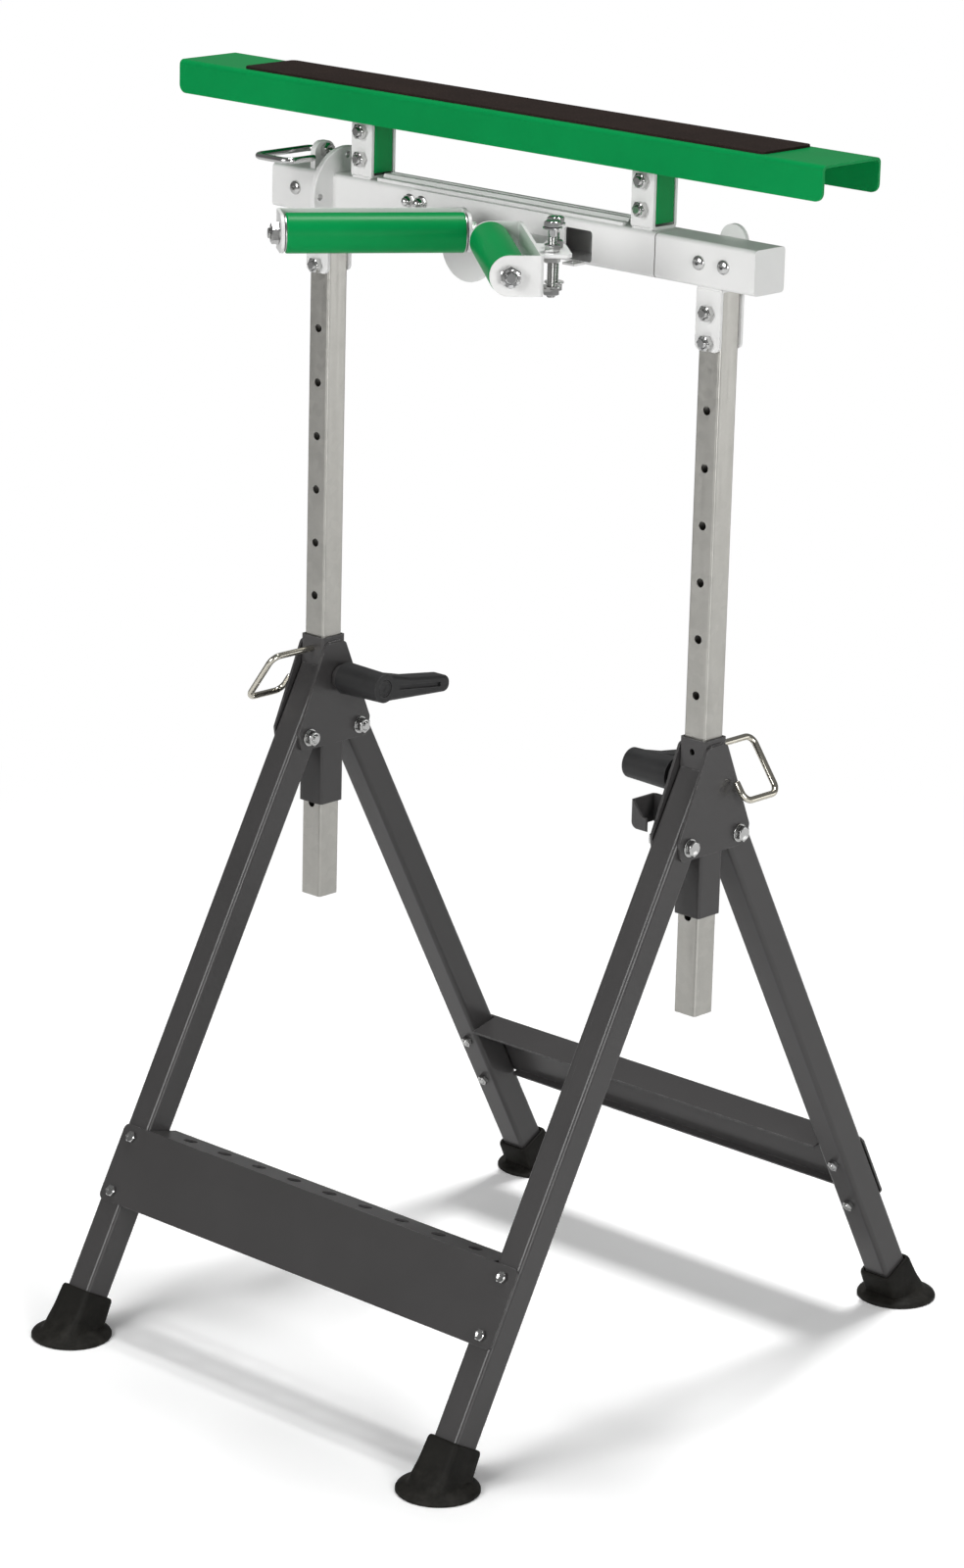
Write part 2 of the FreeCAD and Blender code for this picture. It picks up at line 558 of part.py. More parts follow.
# Legs, rails and feet, in a frame that hangs from the pivot: local z runs up the leg
leg_low = size.pivot_height / cosine(size.leg_tilt) - size.leg_end
rail_bottom = leg_low - size.rail_lift
rail_top = rail_bottom - size.rail_height
rail_bolts = (("high", rail_top + size.rail_bolt_top_in), ("low", rail_bottom - size.rail_bolt_low_in))
mitre = size.pivot_out - size.sleeve_side / 2 - size.leg_mitre_gap
leg_half = size.leg_depth / 2
rail_face = leg_half + size.rail_thick
for end, way in ENDS:
    tilt = size.leg_tilt * -way
    hang = dict(y=-size.pivot_out * way, z=size.pivot_height, axis=X, angle=tilt)
    for side, post_x, inner in SIDES:
        leg = body(f"{side}_{end}_leg", post_x, **hang)
        square_tube(leg, "XY_Plane", size.leg_width, size.leg_depth, size.leg_wall, size.leg_corner, -leg_low,
                    leg_low + size.leg_spare)
        top = []
        for across in (leg_half * 2, -leg_half * 2):
            top.append((across * way, (mitre - across * cosine(size.leg_tilt)) / sine(size.leg_tilt)))
        loop = [top[0], top[1], (top[1][0], size.leg_spare * 2), (top[0][0], size.leg_spare * 2)]
        pocket(leg, "mitre", sketch(leg, "mitre_line", "YZ_Plane", [loop]), size.leg_width * 2, middle=True)
        bore(leg, "pivot_bore", -size.leg_width, 0, 0, "+x", size.bolt_shank / 2 + size.run_fit,
             size.leg_width * 2)
        for name, height in rail_bolts:
            bore(leg, f"{name}_bore", 0, -size.leg_depth, -height, "+y", size.small_shank / 2 + size.bolt_clear,
                 size.leg_depth * 2)

    rail = body(f"{end}_rail", size.post_shift, **hang)
    loop = box_loop(-leg_half * way, -rail_bottom, -rail_face * way, -rail_top)
    drawing = sketch(rail, "plate_section", "YZ_Plane", [loop])
    pad(rail, "plate", drawing, size.post_gap + size.leg_width, middle=True)
    round_edges(rail, "plate_corners", size.rail_corner, lambda edge: runs(edge, Y))
    between = size.post_gap - size.leg_width - size.shelf_clear * 2
    loop = box_loop(-rail_face * way, -rail_bottom, (size.lip_depth - rail_face) * way,
                    -rail_bottom + size.rail_thick)
    pad(rail, "lip", sketch(rail, "lip_section", "YZ_Plane", [loop]), between, middle=True)
    rise = (cosine(size.shelf_rise), sine(size.shelf_rise))
    root = (-rail_face, -rail_top)
    tip = (root[0] + rise[0] * size.shelf_depth, root[1] + rise[1] * size.shelf_depth)
    under = (rise[1] * size.rail_thick, -rise[0] * size.rail_thick)
    loop = [root, tip, (tip[0] + under[0], tip[1] + under[1]), (root[0] + under[0], root[1] + under[1])]
    loop = [(u * way, v) for u, v in loop]
    pad(rail, "shelf", sketch(rail, "shelf_section", "YZ_Plane", [loop]), between, middle=True)
    for name, height in rail_bolts:
        for hand in (-1, 1):
            bore(rail, f"{name}_bore", size.post_gap / 2 * hand, -size.leg_depth * way, -height,
                 "+y" if way > 0 else "-y", size.small_shank / 2 + size.bolt_clear, size.leg_depth)
    if end == "front":
        hole = rail.newObject("PartDesign::SubtractiveCylinder", "tool_hole")
        row = between - size.tool_margin * 2
        place(hole, -row / 2, root[0] + rise[0] * size.shelf_middle + under[0] * 2,
              root[1] + rise[1] * size.shelf_middle + under[1] * 2, None, X, size.shelf_rise)
        bind(hole, "Radius", size.tool_hole / 2)
        bind(hole, "Height", size.rail_thick * 4)
        repeat(rail, "tool_row", hole, "X_Axis", row, size.tool_steps + 1)

    pieces = []
    for side, post_x, inner in SIDES:
        for name, height in rail_bolts:
            spot = (post_x, -rail_face * way, -height)
            pieces += bolted(f"{side}_{end}_{name}", spot, "+y" if way > 0 else "-y", SMALL,
                             leg_half * 2 + size.rail_thick, size.small_tail)
    group(f"{end}_rail_fasteners", pieces, 0, **hang)

    for side, post_x, inner in SIDES:
        reach = size.pivot_out + size.pivot_height * sine(size.leg_tilt) / cosine(size.leg_tilt)
        foot = body(f"{side}_{end}_foot", post_x, -reach * way)
        loop = [(0, 0), (size.foot_radius, 0), (size.foot_radius, size.foot_rim),
                (size.foot_shoulder, size.foot_shoulder_height), (size.foot_neck, size.foot_crown),
                (0, size.foot_crown)]
        turned(foot, "disc", sketch(foot, "disc_section", "XZ_Plane", [loop]), "V_Axis")
        wide = size.leg_width + size.collar_wall * 2
        deep = size.leg_depth + size.collar_wall * 2
        thicker = size.collar_band_height * 2
        rib_face = (deep / 2 + size.rib_height) * way
        sections = (
            ("collar", rectangle(wide, deep, size.collar_corner), size.collar_start, size.collar_end),
            ("band", rectangle(wide + thicker, deep + thicker, size.collar_corner),
             size.collar_end - size.collar_band, size.collar_end),
            ("rib", box_loop(-size.rib_width / 2, 0, size.rib_width / 2, -rib_face), size.collar_start,
             size.collar_end - size.collar_band),
            ("socket", rectangle(size.leg_width + size.sock_clear * 2, size.leg_depth + size.sock_clear * 2,
                                 size.leg_corner), size.leg_end, size.collar_end + size.leg_end),
        )
        for name, loop, start, finish in sections:
            drawing = sketch(foot, f"{name}_section", "XY_Plane", [loop])
            drawing.AttachmentOffset = FreeCAD.Placement(FreeCAD.Vector(), FreeCAD.Rotation(X, tilt.value))
            bind(drawing, "AttachmentOffset.Rotation.Angle", tilt)
            bind(drawing, "AttachmentOffset.Base.y", start * sine(size.leg_tilt) * way)
            bind(drawing, "AttachmentOffset.Base.z", start * cosine(size.leg_tilt))
            if name == "socket":
                pocket(foot, name, drawing, finish - start, backward=True)
            else:
                pad(foot, name, drawing, finish - start)

# Posts with their row of height holes, and the brackets under the end blocks
bracket_inner = size.post_side / 2 + size.bracket_fit
bracket_outer = bracket_inner + size.bracket_sheet
bracket_bottom = block_low - size.post_bracket_drop
post_bolts = (block_low - size.post_bolt_low_drop, block_low - size.post_bolt_high_drop)
hole_pitch = (bracket_bottom - size.hole_margin - lock_height) / (size.hole_steps - size.lock_steps_up)
pieces = []
for side, post_x, inner in SIDES:
    post = body(f"{side}_post", post_x)
    square_tube(post, "XY_Plane", size.post_side, size.post_side, size.post_wall, size.post_corner, post_bottom,
                size.post_length)
    for number, height in enumerate(post_bolts, start=1):
        bore(post, f"bolt_bore_{number}", 0, -size.post_side, height, "+y",
             size.bolt_shank / 2 + size.bolt_clear, size.post_side * 2)
    first = lock_height - hole_pitch * size.lock_steps_up
    hole = bore(post, "height_hole", 0, -size.post_side, first, "+y", size.post_hole / 2, size.post_side * 2)
    repeat(post, "height_row", hole, "Z_Axis", hole_pitch * size.hole_steps, size.hole_steps + 1)

    bracket = body(f"{side}_post_bracket", post_x)
    half = [(bracket_outer, block_low, size.bracket_bend), (bracket_outer, bracket_bottom),
            (bracket_inner, bracket_bottom), (bracket_inner, block_low - size.bracket_sheet, size.bracket_ease)]
    loop = half + [(-corner[0],) + corner[1:] for corner in reversed(half)]
    pad(bracket, "sheet", sketch(bracket, "section", "YZ_Plane", [loop]), size.post_bracket_width, middle=True)
    round_edges(bracket, "tips", size.bracket_tip,
                lambda edge: runs(edge, Y) and near(middle_of(edge).z, bracket_bottom))
    for number, height in enumerate(post_bolts, start=1):
        bore(bracket, f"bolt_bore_{number}", 0, -size.post_side, height, "+y",
             size.bolt_shank / 2 + size.bolt_clear, size.post_side * 2)
        pieces += bolted(f"{side}_post_{number}", (post_x, bracket_outer, height), "-y", COMMON,
                         bracket_outer * 2, size.bolt_tail)
group("post_bracket_fasteners", pieces)

# End blocks: square tube closed at the outer end; the right one carries the rear stop lug
dome_spots = [(right_post_x - size.right_bush_bolt_in, "right"),
              (right_post_x + size.right_bush_bolt_out, "right"),
              (left_post_x - size.left_bush_bolt_out, "left")]
left_block_start = left_post_x - size.left_block_out
right_block_end = right_post_x + size.right_block_out
for side, start, finish, cap_start in (
        ("left", left_block_start, left_block_end, left_block_start),
        ("right", right_block_start, right_block_end, right_block_end - size.block_wall)):
    block = body(f"{side}_end_block", **HEAD)
    square_tube(block, "YZ_Plane", size.block_side, size.block_side, size.block_wall, size.block_corner, start,
                finish - start)
    loop = rectangle(size.block_side, size.block_side, size.block_corner)
    pad(block, "end_cap", sketch(block, "cap_section", "YZ_Plane", [loop], offset=cap_start), size.block_wall)
    for number, (x, where) in enumerate(dome_spots):
        if where == side:
            bore(block, f"bush_bore_{number}", x, -size.block_side, size.bush_bolt_rise, "+y",
                 size.small_shank / 2 + size.bolt_clear, size.block_side)
    if side == "right":
        lug_x = right_post_x - size.lug_in
        lug_round = size.lug_top - size.lug_half
        loop = box_loop(lug_x - size.lug_half, -size.lug_low, lug_x + size.lug_half, lug_round)
        pad(block, "lug", sketch(block, "lug_outline", "XZ_Plane", [loop], offset=-size.block_side / 2),
            size.lug_thick, backward=True)
        crown = sketch(block, "lug_crown", "XZ_Plane", rings=[(lug_x, lug_round, size.lug_half)],
                       offset=-size.block_side / 2)
        pad(block, "lug_top", crown, size.lug_thick, backward=True)

# Bearing bushes inside the blocks, and the dome bolts that hold them
pieces = []
for side, start in (("left", left_block_end - size.bush_length), ("right", right_block_start)):
    bush = doc.addObject("PartDesign::Body", f"{side}_bush")
    place(bush, start, 0, axis_height)
    loop = rectangle(size.bush_side, size.bush_side, size.block_corner - size.block_wall)
    drawing = sketch(bush, "section", "YZ_Plane", [loop], [(0, 0, size.stub_radius + size.run_fit)])
    pad(bush, "length", drawing, size.bush_length)
    for number, (x, where) in enumerate(dome_spots):
        if where == side:
            bore(bush, f"bolt_bore_{number}", x - start, -size.block_side / 2, size.bush_bolt_rise, "+y",
                 size.small_shank / 2 + size.bolt_clear, size.block_side / 2)
    pieces.append(bush)
group("bearing_bushes", pieces)

pieces = []
for number, (x, where) in enumerate(dome_spots):
    dome = doc.addObject("PartDesign::Body", f"dome_bolt_{number}")
    place(dome, x, -size.block_side / 2, axis_height + size.bush_bolt_rise, facing("-y"))
    loop = [(0, -size.dome_shank), (size.small_shank / 2, -size.dome_shank), (size.small_shank / 2, 0),
            (size.dome_radius, 0), (size.dome_radius, size.dome_edge), (size.small_shank / 2, size.dome_height),
            (0, size.dome_height)]
    turned(dome, "turning", sketch(dome, "section", "XZ_Plane", [loop]), "V_Axis")
    pieces.append(dome)
group("bush_bolts", pieces)

# Index tab on the left block with its guide nut
tab = body("index_tab")
tab_top = axis_height + size.index_tab_rise
loop = [(-size.index_tab_half, beam_top), (size.index_tab_half, beam_top),
        (size.index_tab_half, tab_top, size.index_tab_round),
        (-size.index_tab_half, tab_top, size.index_tab_round)]
tab_outer = left_post_x - size.index_tab_out
pin_height = axis_height + size.index_hole_reach
drawing = sketch(tab, "outline", "YZ_Plane", [loop], [(0, pin_height, size.wire / 2 + size.run_fit)],
                 offset=tab_outer)
pad(tab, "sheet", drawing, size.index_tab_thick)
guide = hex_nut("index_guide_nut", (tab_outer + size.index_tab_thick, 0, pin_height), "+x",
                (size.wire, size.bolt_across, size.bolt_head, size.guide_nut_long))
guide.Label = "index_guide_nut"
node(guide)

# Turning beam with its window, and the strip along its top
beam = body("head_beam", **HEAD)
square_tube(beam, "YZ_Plane", size.block_side, size.block_side, size.block_wall, size.block_corner, beam_start,
            beam_end - beam_start)
window_right = beam_end - size.window_in
window_left = window_right - size.window_width
loop = box_loop(window_left, -size.window_drop, window_right, size.window_rise, size.window_corner)
pocket(beam, "window", sketch(beam, "window_outline", "XZ_Plane", [loop], offset=size.block_side / 2),
       size.block_wall * 2)
tab_x = (window_left + window_right) / 2
front = size.block_side / 2
loop = box_loop(tab_x - size.tab_half, -front - size.tab_out, tab_x + size.tab_half, -front + size.block_wall)
slot = box_loop(tab_x - size.tab_slot_half, -front - size.tab_slot_end, tab_x + size.tab_slot_half,
                -front - size.tab_slot_start)
pad(beam, "slot_tab", sketch(beam, "slot_tab_outline", "XY_Plane", [loop, slot], offset=-front), size.tab_thick)

strip = body("top_strip", **HEAD)
edge = size.strip_ridge_half + size.strip_slope
half = [(size.strip_half, 0), (size.strip_half, size.strip_edge), (edge, size.strip_edge),
        (size.strip_ridge_half, size.strip_ridge), (size.strip_groove_half, size.strip_ridge),
        (size.strip_groove_half, size.strip_ridge - size.strip_groove_deep)]
loop = [(u, as_length(v) + front) for u, v in half]
loop = loop + [(-u, v) for u, v in reversed(loop)]
strip_start = beam_start + size.strip_left_in
drawing = sketch(strip, "section", "YZ_Plane", [loop], offset=strip_start)
pad(strip, "section_run", drawing, beam_end - size.strip_right_in - strip_start)

# Index plate turned in one piece with the left stub shaft
plate = body("index_plate", index_face, 0, axis_height)
thick = size.index_thick
loop = [(-size.stub_reach, 0), (-size.stub_reach, size.stub_radius), (0, size.stub_radius),
        (0, size.index_radius), (thick, size.index_radius), (thick, size.index_hub),
        (thick + size.index_hub_length, size.index_hub), (thick + size.index_hub_length, 0)]
turned(plate, "turning", sketch(plate, "section", "XZ_Plane", [loop]), "H_Axis")
for number, (across, up) in enumerate(((0, 1), (-1, 0), (1, 0)), start=1):
    bore(plate, f"index_hole_{number}", -thick, size.index_hole_reach * across, size.index_hole_reach * up, "+x",
         size.index_hole / 2, thick * 3)
round_edges(plate, "rim", size.index_ease,
            lambda edge: ring_of(edge, size.index_radius))

stub = body("right_stub_shaft", beam_end, 0, axis_height)
turned(stub, "shaft", sketch(stub, "section", "XZ_Plane", [box_loop(-size.plug_length, 0, size.stub_reach,
                                                                  size.stub_radius)]), "H_Axis")
loop = rectangle(size.bush_side, size.bush_side, size.block_corner - size.block_wall)
pad(stub, "plug", sketch(stub, "plug_section", "YZ_Plane", [loop], offset=-size.plug_length), size.plug_length)

# Upright brackets and uprights
upright_inner = size.upright_depth / 2 + size.bracket_fit
upright_outer = upright_inner + size.bracket_sheet
upright_bolts = (beam_top + size.upright_bolt_low_rise, beam_top + size.upright_bolt_high_rise)
upright_bottom = beam_top + size.upright_foot_gap
bracket_top = beam_top + size.upright_bracket_rise
pieces = []
for side, upright_x in (("left", beam_start + size.left_upright_in),
                        ("right", beam_end - size.right_upright_in)):
    bracket = body(f"{side}_upright_bracket", upright_x)
    half = [(upright_outer, beam_top, size.bracket_bend), (upright_outer, bracket_top),
            (upright_inner, bracket_top), (upright_inner, beam_top + size.bracket_sheet, size.bracket_ease)]
    loop = half + [(-corner[0],) + corner[1:] for corner in reversed(half)]
    drawing = sketch(bracket, "section", "YZ_Plane", [loop])
    pad(bracket, "sheet", drawing, size.upright_bracket_width, middle=True)
    round_edges(bracket, "tips", size.bracket_tip,
                lambda edge: runs(edge, Y) and near(middle_of(edge).z, bracket_top))
    upright = body(f"{side}_upright", upright_x)
    square_tube(upright, "XY_Plane", size.upright_width, size.upright_depth, size.upright_wall,
                size.upright_corner, upright_bottom, channel_top - size.channel_sheet - upright_bottom)
    for number, height in enumerate(upright_bolts, start=1):
        for owner in (bracket, upright):
            bore(owner, f"bolt_bore_{number}", 0, -size.upright_depth, height, "+y",
                 size.bolt_shank / 2 + size.bolt_clear, size.upright_depth * 2)
        pieces += bolted(f"{side}_upright_{number}", (upright_x, upright_outer, height), "-y", COMMON,
                         upright_outer * 2, size.bolt_tail)
group("upright_fasteners", pieces)

# Work channel, open below, with the rubber pad on top
channel = body("work_channel")
channel_inner = size.channel_half - size.channel_sheet
channel_low = channel_top - size.channel_depth
half = [(size.channel_half, channel_top, size.channel_bend), (size.channel_half, channel_low),
        (channel_inner, channel_low),
        (channel_inner, channel_top - size.channel_sheet, size.channel_bend - size.channel_sheet)]
loop = half + [(-corner[0],) + corner[1:] for corner in reversed(half)]
pad(channel, "sheet", sketch(channel, "section", "YZ_Plane", [loop]), size.channel_half_length * 2, middle=True)
round_edges(channel, "end_corners", size.channel_end_round,
            lambda edge: runs(edge, Y) and near(middle_of(edge).z, channel_low))
rubber = body("channel_pad", size.pad_shift, 0, channel_top)
loop = rectangle((size.channel_half_length - size.pad_end) * 2, size.pad_half * 2, size.pad_corner)
pad(rubber, "sheet", sketch(rubber, "outline", "XY_Plane", [loop]), size.pad_thick)

# Rollers, their caps and their brackets; local x runs along the roller, local y points back to the beam
ear_inner = size.roller_length / 2 + size.cap_lip + size.roller_end_gap
ear_outer = ear_inner + size.ear_sheet
back_face = size.ear_back + size.ear_sheet
ROLLERS = (("left", -size.left_roller_x, -size.left_roller_y, size.left_roller_angle),
           ("right", size.right_roller_x, -size.right_roller_y, -size.right_roller_angle))
for side, roller_x, roller_y, angle in ROLLERS:
    at_roller = dict(x=roller_x, y=roller_y, z=axis_height, axis=Z, angle=angle)
    roller = body(f"{side}_roller", **at_roller)
    loop = box_loop(-size.roller_length / 2, size.roller_bore, size.roller_length / 2, size.roller_radius)
    turned(roller, "tube", sketch(roller, "section", "XZ_Plane", [loop]), "H_Axis")
    round_edges(roller, "ends", size.roller_ease,
                lambda edge: ring_of(edge, size.roller_radius))

    caps = []
    for hand in (-1, 1):
        cap = doc.addObject("PartDesign::Body", f"{side}_cap_{hand + 1}")
        face = size.roller_length / 2
        bore_radius = size.axle_radius + size.run_fit
        loop = [(face - size.cap_depth, bore_radius), (face - size.cap_depth, size.roller_bore),
                (face, size.roller_bore), (face, size.cap_lip_radius),
                (face + size.cap_lip, size.cap_lip_radius), (face + size.cap_lip, bore_radius)]
        loop = [(u * hand, v) for u, v in loop]
        turned(cap, "turning", sketch(cap, "section", "XZ_Plane", [loop]), "H_Axis")
        caps.append(cap)
    group(f"{side}_roller_caps", caps, **at_roller)

    bracket = body(f"{side}_roller_bracket", **at_roller)
    half = [(ear_outer, back_face, size.bracket_bend), (ear_outer, -size.ear_radius),
            (ear_inner, -size.ear_radius), (ear_inner, size.ear_back, size.bracket_ease)]
    loop = half + [(-corner[0],) + corner[1:] for corner in reversed(half)]
    pad(bracket, "sheet", sketch(bracket, "section", "XY_Plane", [loop]), size.ear_radius * 2, middle=True)
    round_edges(bracket, "ear_fronts", size.ear_round,
                lambda edge: runs(edge, X) and near(middle_of(edge).y, -size.ear_radius))
    bore(bracket, "axle_bore", -ear_outer * 2, 0, 0, "+x", size.axle_radius + size.run_fit, ear_outer * 4)
    if side == "right":
        loop = [(size.flange_start, size.ear_back), (size.flange_end, size.ear_back),
                (size.flange_end, back_face + size.flange_out, size.flange_corner),
                (size.flange_start, back_face + size.flange_out, size.flange_corner)]
        drills = [(size.adjuster_a, size.adjuster_a_back, size.bolt_shank / 2 + size.bolt_clear),
                  (size.adjuster_b, size.adjuster_b_back, size.bolt_shank / 2 + size.bolt_clear)]
        drawing = sketch(bracket, "flange_outline", "XY_Plane", [loop], drills,
                         offset=size.ear_radius - size.ear_sheet)
        pad(bracket, "flange", drawing, size.ear_sheet)

# Axles, head at the inner ear and nut at the outer ear
pieces = []
for side, roller_x, roller_y, angle in ROLLERS:
    inward = "+x" if side == "right" else "-x"
    start = -ear_outer if side == "right" else ear_outer
    axle = bolted(f"{side}_axle", (start, 0, 0), inward, AXLE, ear_outer * 2, size.axle_tail)
    pair = doc.addObject("Part::Compound", f"{side}_axle_set")
    pair.Links = axle
    place(pair, roller_x, roller_y, axis_height, None, Z, angle)
    pieces.append(pair)
group("roller_axles", pieces)

# Long adjusting bolts on the right roller bracket: a washer under the head, a nut on both faces of the flange,
# and a nut and washer near the lower end
flange_top = size.ear_radius
pieces = []
for name, along, back in (("a", size.adjuster_a, size.adjuster_a_back),
                          ("b", size.adjuster_b, size.adjuster_b_back)):
    head_seat = size.adjuster_rise
    pieces.append(hex_bolt(f"adjuster_{name}", (along, back, head_seat), "-z", COMMON,
                           size.adjuster_rise + size.adjuster_drop))
    pieces.append(hex_nut(f"adjuster_{name}_top_nut", (along, back, flange_top), "+z", COMMON))
    pieces.append(hex_nut(f"adjuster_{name}_low_nut", (along, back, flange_top - size.ear_sheet), "-z", COMMON))
    pieces.append(washer(f"adjuster_{name}_top_washer", (along, back, head_seat), "-z"))
    end = size.bolt_tail - size.adjuster_drop
    pieces.append(hex_nut(f"adjuster_{name}_end_nut", (along, back, end), "+z", COMMON))
    pieces.append(washer(f"adjuster_{name}_end_washer", (along, back, end + size.bolt_nut), "+z"))
right = ROLLERS[1]
group("adjuster_fasteners", pieces, right[1], right[2], axis_height, Z, right[3])


def beside(roller, along, back):
    """Where a point of a roller's own frame lies on the stand."""
    side, roller_x, roller_y, angle = roller
    ahead = (cosine(angle), sine(angle))
    return (roller_x + ahead[0] * along - ahead[1] * back, roller_y + ahead[1] * along + ahead[0] * back)


# Roller carrier: front plate with its round lobe, and the web out to the roller brackets
carrier = body("roller_carrier", **HEAD)
loop = box_loop(-size.carrier_left, -front, size.carrier_right, front)
pad(carrier, "plate", sketch(carrier, "plate_outline", "XZ_Plane", [loop], offset=front), size.carrier_thick)
round_edges(carrier, "plate_corners", size.carrier_edge_round, lambda edge: runs(edge, Y))
lobe = sketch(carrier, "lobe_outline", "XZ_Plane", rings=[(-size.lobe_x, -size.lobe_drop, size.lobe_radius)],
              offset=front)
pad(carrier, "lobe", lobe, size.carrier_thick)
plate_front = -front - size.carrier_thick
loop = [(-size.web_left, -front), (-size.web_left, plate_front),
        beside(ROLLERS[0], size.web_left_reach, back_face),
        beside(ROLLERS[0], size.web_overrun, back_face), beside(ROLLERS[1], -size.web_overrun, back_face),
        beside(ROLLERS[1], -size.web_right_reach, back_face), (size.carrier_right, plate_front),
        (size.carrier_right, -front)]
pad(carrier, "web", sketch(carrier, "web_outline", "XY_Plane", [loop]), size.web_thick, backward=True)
for name, x in (("a", -size.carrier_bolt_a), ("b", -size.carrier_bolt_b)):
    bore(carrier, f"bolt_bore_{name}", x, plate_front * 2, size.carrier_bolt_rise, "+y",
         size.small_shank / 2 + size.bolt_clear, -plate_front * 2)
    bore(beam, f"carrier_bore_{name}", x, plate_front * 2, size.carrier_bolt_rise, "+y",
         size.small_shank / 2 + size.bolt_clear, -plate_front * 2)

pieces = []
for name, x in (("a", -size.carrier_bolt_a), ("b", -size.carrier_bolt_b)):
    spot = (x, plate_front - size.flange_head_thick, axis_height + size.carrier_bolt_rise)
    length = size.flange_head_thick + size.carrier_thick + size.block_wall
    bolt = hex_bolt(f"carrier_{name}", spot, "+y", SMALL, length + size.small_tail)
    flange = rod(f"carrier_{name}_flange", size.flange_head_radius, size.flange_head_thick)
    crown = doc.addObject("Part::Sphere", f"carrier_{name}_crown")
    bind(crown, "Radius", size.crown_radius)
    place(crown, 0, 0, -size.small_head)
    bolt.Shapes = bolt.Shapes + [flange, crown]
    pieces.append(bolt)
group("carrier_bolts", pieces)

# Clamp levers and their screws; local x runs from the clamp nut toward the stand's middle
lever_start = plate_face + size.boss_length + size.clamp_gap
screw_tip = lever_start - size.post_side / 2 - size.clamp_tip_gap
for side, post_x, inner in SIDES:
    turn = dict(axis=Z, angle=size.half_turn) if inner < 0 else {}
    at_lever = dict(x=post_x + lever_start * inner, y=size.clamp_aside * inner, z=clamp_height, **turn)
    lever = body(f"{side}_clamp_lever", **at_lever)
    recess = size.hub_length - size.hub_recess_deep
    loop = [(0, 0), (0, size.hub_radius), (size.hub_length, size.hub_end_radius), (size.hub_length, 0)]
    turned(lever, "hub", sketch(lever, "hub_section", "XZ_Plane", [loop]), "H_Axis")
    loop = [(0, size.arm_root_half), (size.arm_waist, size.arm_waist_half - size.arm_waist_droop),
            (size.arm_length, size.arm_tip_half - size.arm_droop),
            (size.arm_length, -size.arm_tip_half - size.arm_droop), (0, -size.arm_root_half)]
    loop = [(u * inner, v) for u, v in loop]
    drawing = sketch(lever, "arm_outline", "YZ_Plane", [loop], offset=size.arm_start)
    pad(lever, "arm", drawing, size.hub_length - size.arm_start)
    round_edges(lever, "arm_tip", size.arm_round,
                lambda edge: runs(edge, X) and near(abs(middle_of(edge).y), size.arm_length))
    round_edges(lever, "soft_edges", size.arm_edge,
                lambda edge: abs(middle_of(edge).y) > SIZES["hub_radius"] and not runs(edge, X))
    slope = size.arm_droop / size.arm_length
    loop = [(along, -slope * along + size.arm_groove_half * up) for along, up in
            ((size.arm_groove_start, 1), (size.arm_groove_end, 1), (size.arm_groove_end, -1),
             (size.arm_groove_start, -1))]
    loop = [(u * inner, v) for u, v in loop]
    drawing = sketch(lever, "groove_outline", "YZ_Plane", [loop], offset=size.hub_length)
    pocket(lever, "groove", drawing, size.arm_groove_deep)
    bore(lever, "recess", recess, 0, 0, "+x", size.hub_recess_radius, size.hub_recess_deep * 2)
    bore(lever, "screw_bore", -size.hub_length, 0, 0, "+x", size.clamp_shank / 2 + size.run_fit,
         size.hub_length * 2)
    screw = body(f"{side}_clamp_screw", **at_lever)
    loop = [(-screw_tip, 0), (-screw_tip, size.clamp_shank / 2), (recess, size.clamp_shank / 2),
            (recess, size.screw_head_radius), (recess + size.screw_head_height, size.screw_head_radius),
            (recess + size.screw_head_height, 0)]
    turned(screw, "turning", sketch(screw, "section", "XZ_Plane", [loop]), "H_Axis")

# Wire pins: two lock pins in the sleeves, one index pin in the tab
for side, post_x, inner in SIDES:
    lean = size.lock_lean * -inner
    pin = body(f"{side}_lock_pin", post_x, 0, lock_height, axis=Y, angle=-lean)
    tip = size.lock_tip
    far = size.lock_tip + size.lock_straight
    corners = [(tip, 0), (far, 0, size.wire_bend), (far, -size.lock_run, size.wire_bend),
               (far - size.lock_return, -size.lock_run, size.wire_bend),
               (far - size.lock_return, -size.lock_run + size.lock_up)]
    wire_form(pin, [(-as_length(corner[0]) * inner,) + corner[1:] for corner in corners])

pin = body("index_pin", index_face - size.index_travel_gap, 0, pin_height, axis=FreeCAD.Vector(1, 1, 1),
           angle=-size.half_turn * 2 / 3)
reach = size.index_in + size.index_corner_out - size.index_travel_gap
corners = [(0, 0), (-reach, 0, size.index_bend), (-reach, -size.index_bail_out, size.wire_bend),
           (size.index_bail_side - reach, -size.index_bail_out, size.wire_bend),
           (size.index_bail_side - reach, size.index_bail_back - size.index_bail_out)]
wire_form(pin, corners)

doc.recompute()
for part in doc.Objects:
    if "Invalid" in part.State or "Error" in part.State:
        raise RuntimeError(f"{part.Name} did not build: {part.State}")
os.makedirs("parts", exist_ok=True)
for part in nodes:
    shape = part.Shape
    if shape.isNull() or not shape.isValid():
        raise RuntimeError(f"{part.Label} has no sound shape")
    shape.exportStep(os.path.join("parts", f"{part.Label}.step"))
print(len(nodes), "pieces written")
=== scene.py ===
"""Looks of the material support stand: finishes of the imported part, detailed hardware and small dressing."""
import collections
import json
import math

import bpy
import numpy as np
from mathutils import Matrix, Vector


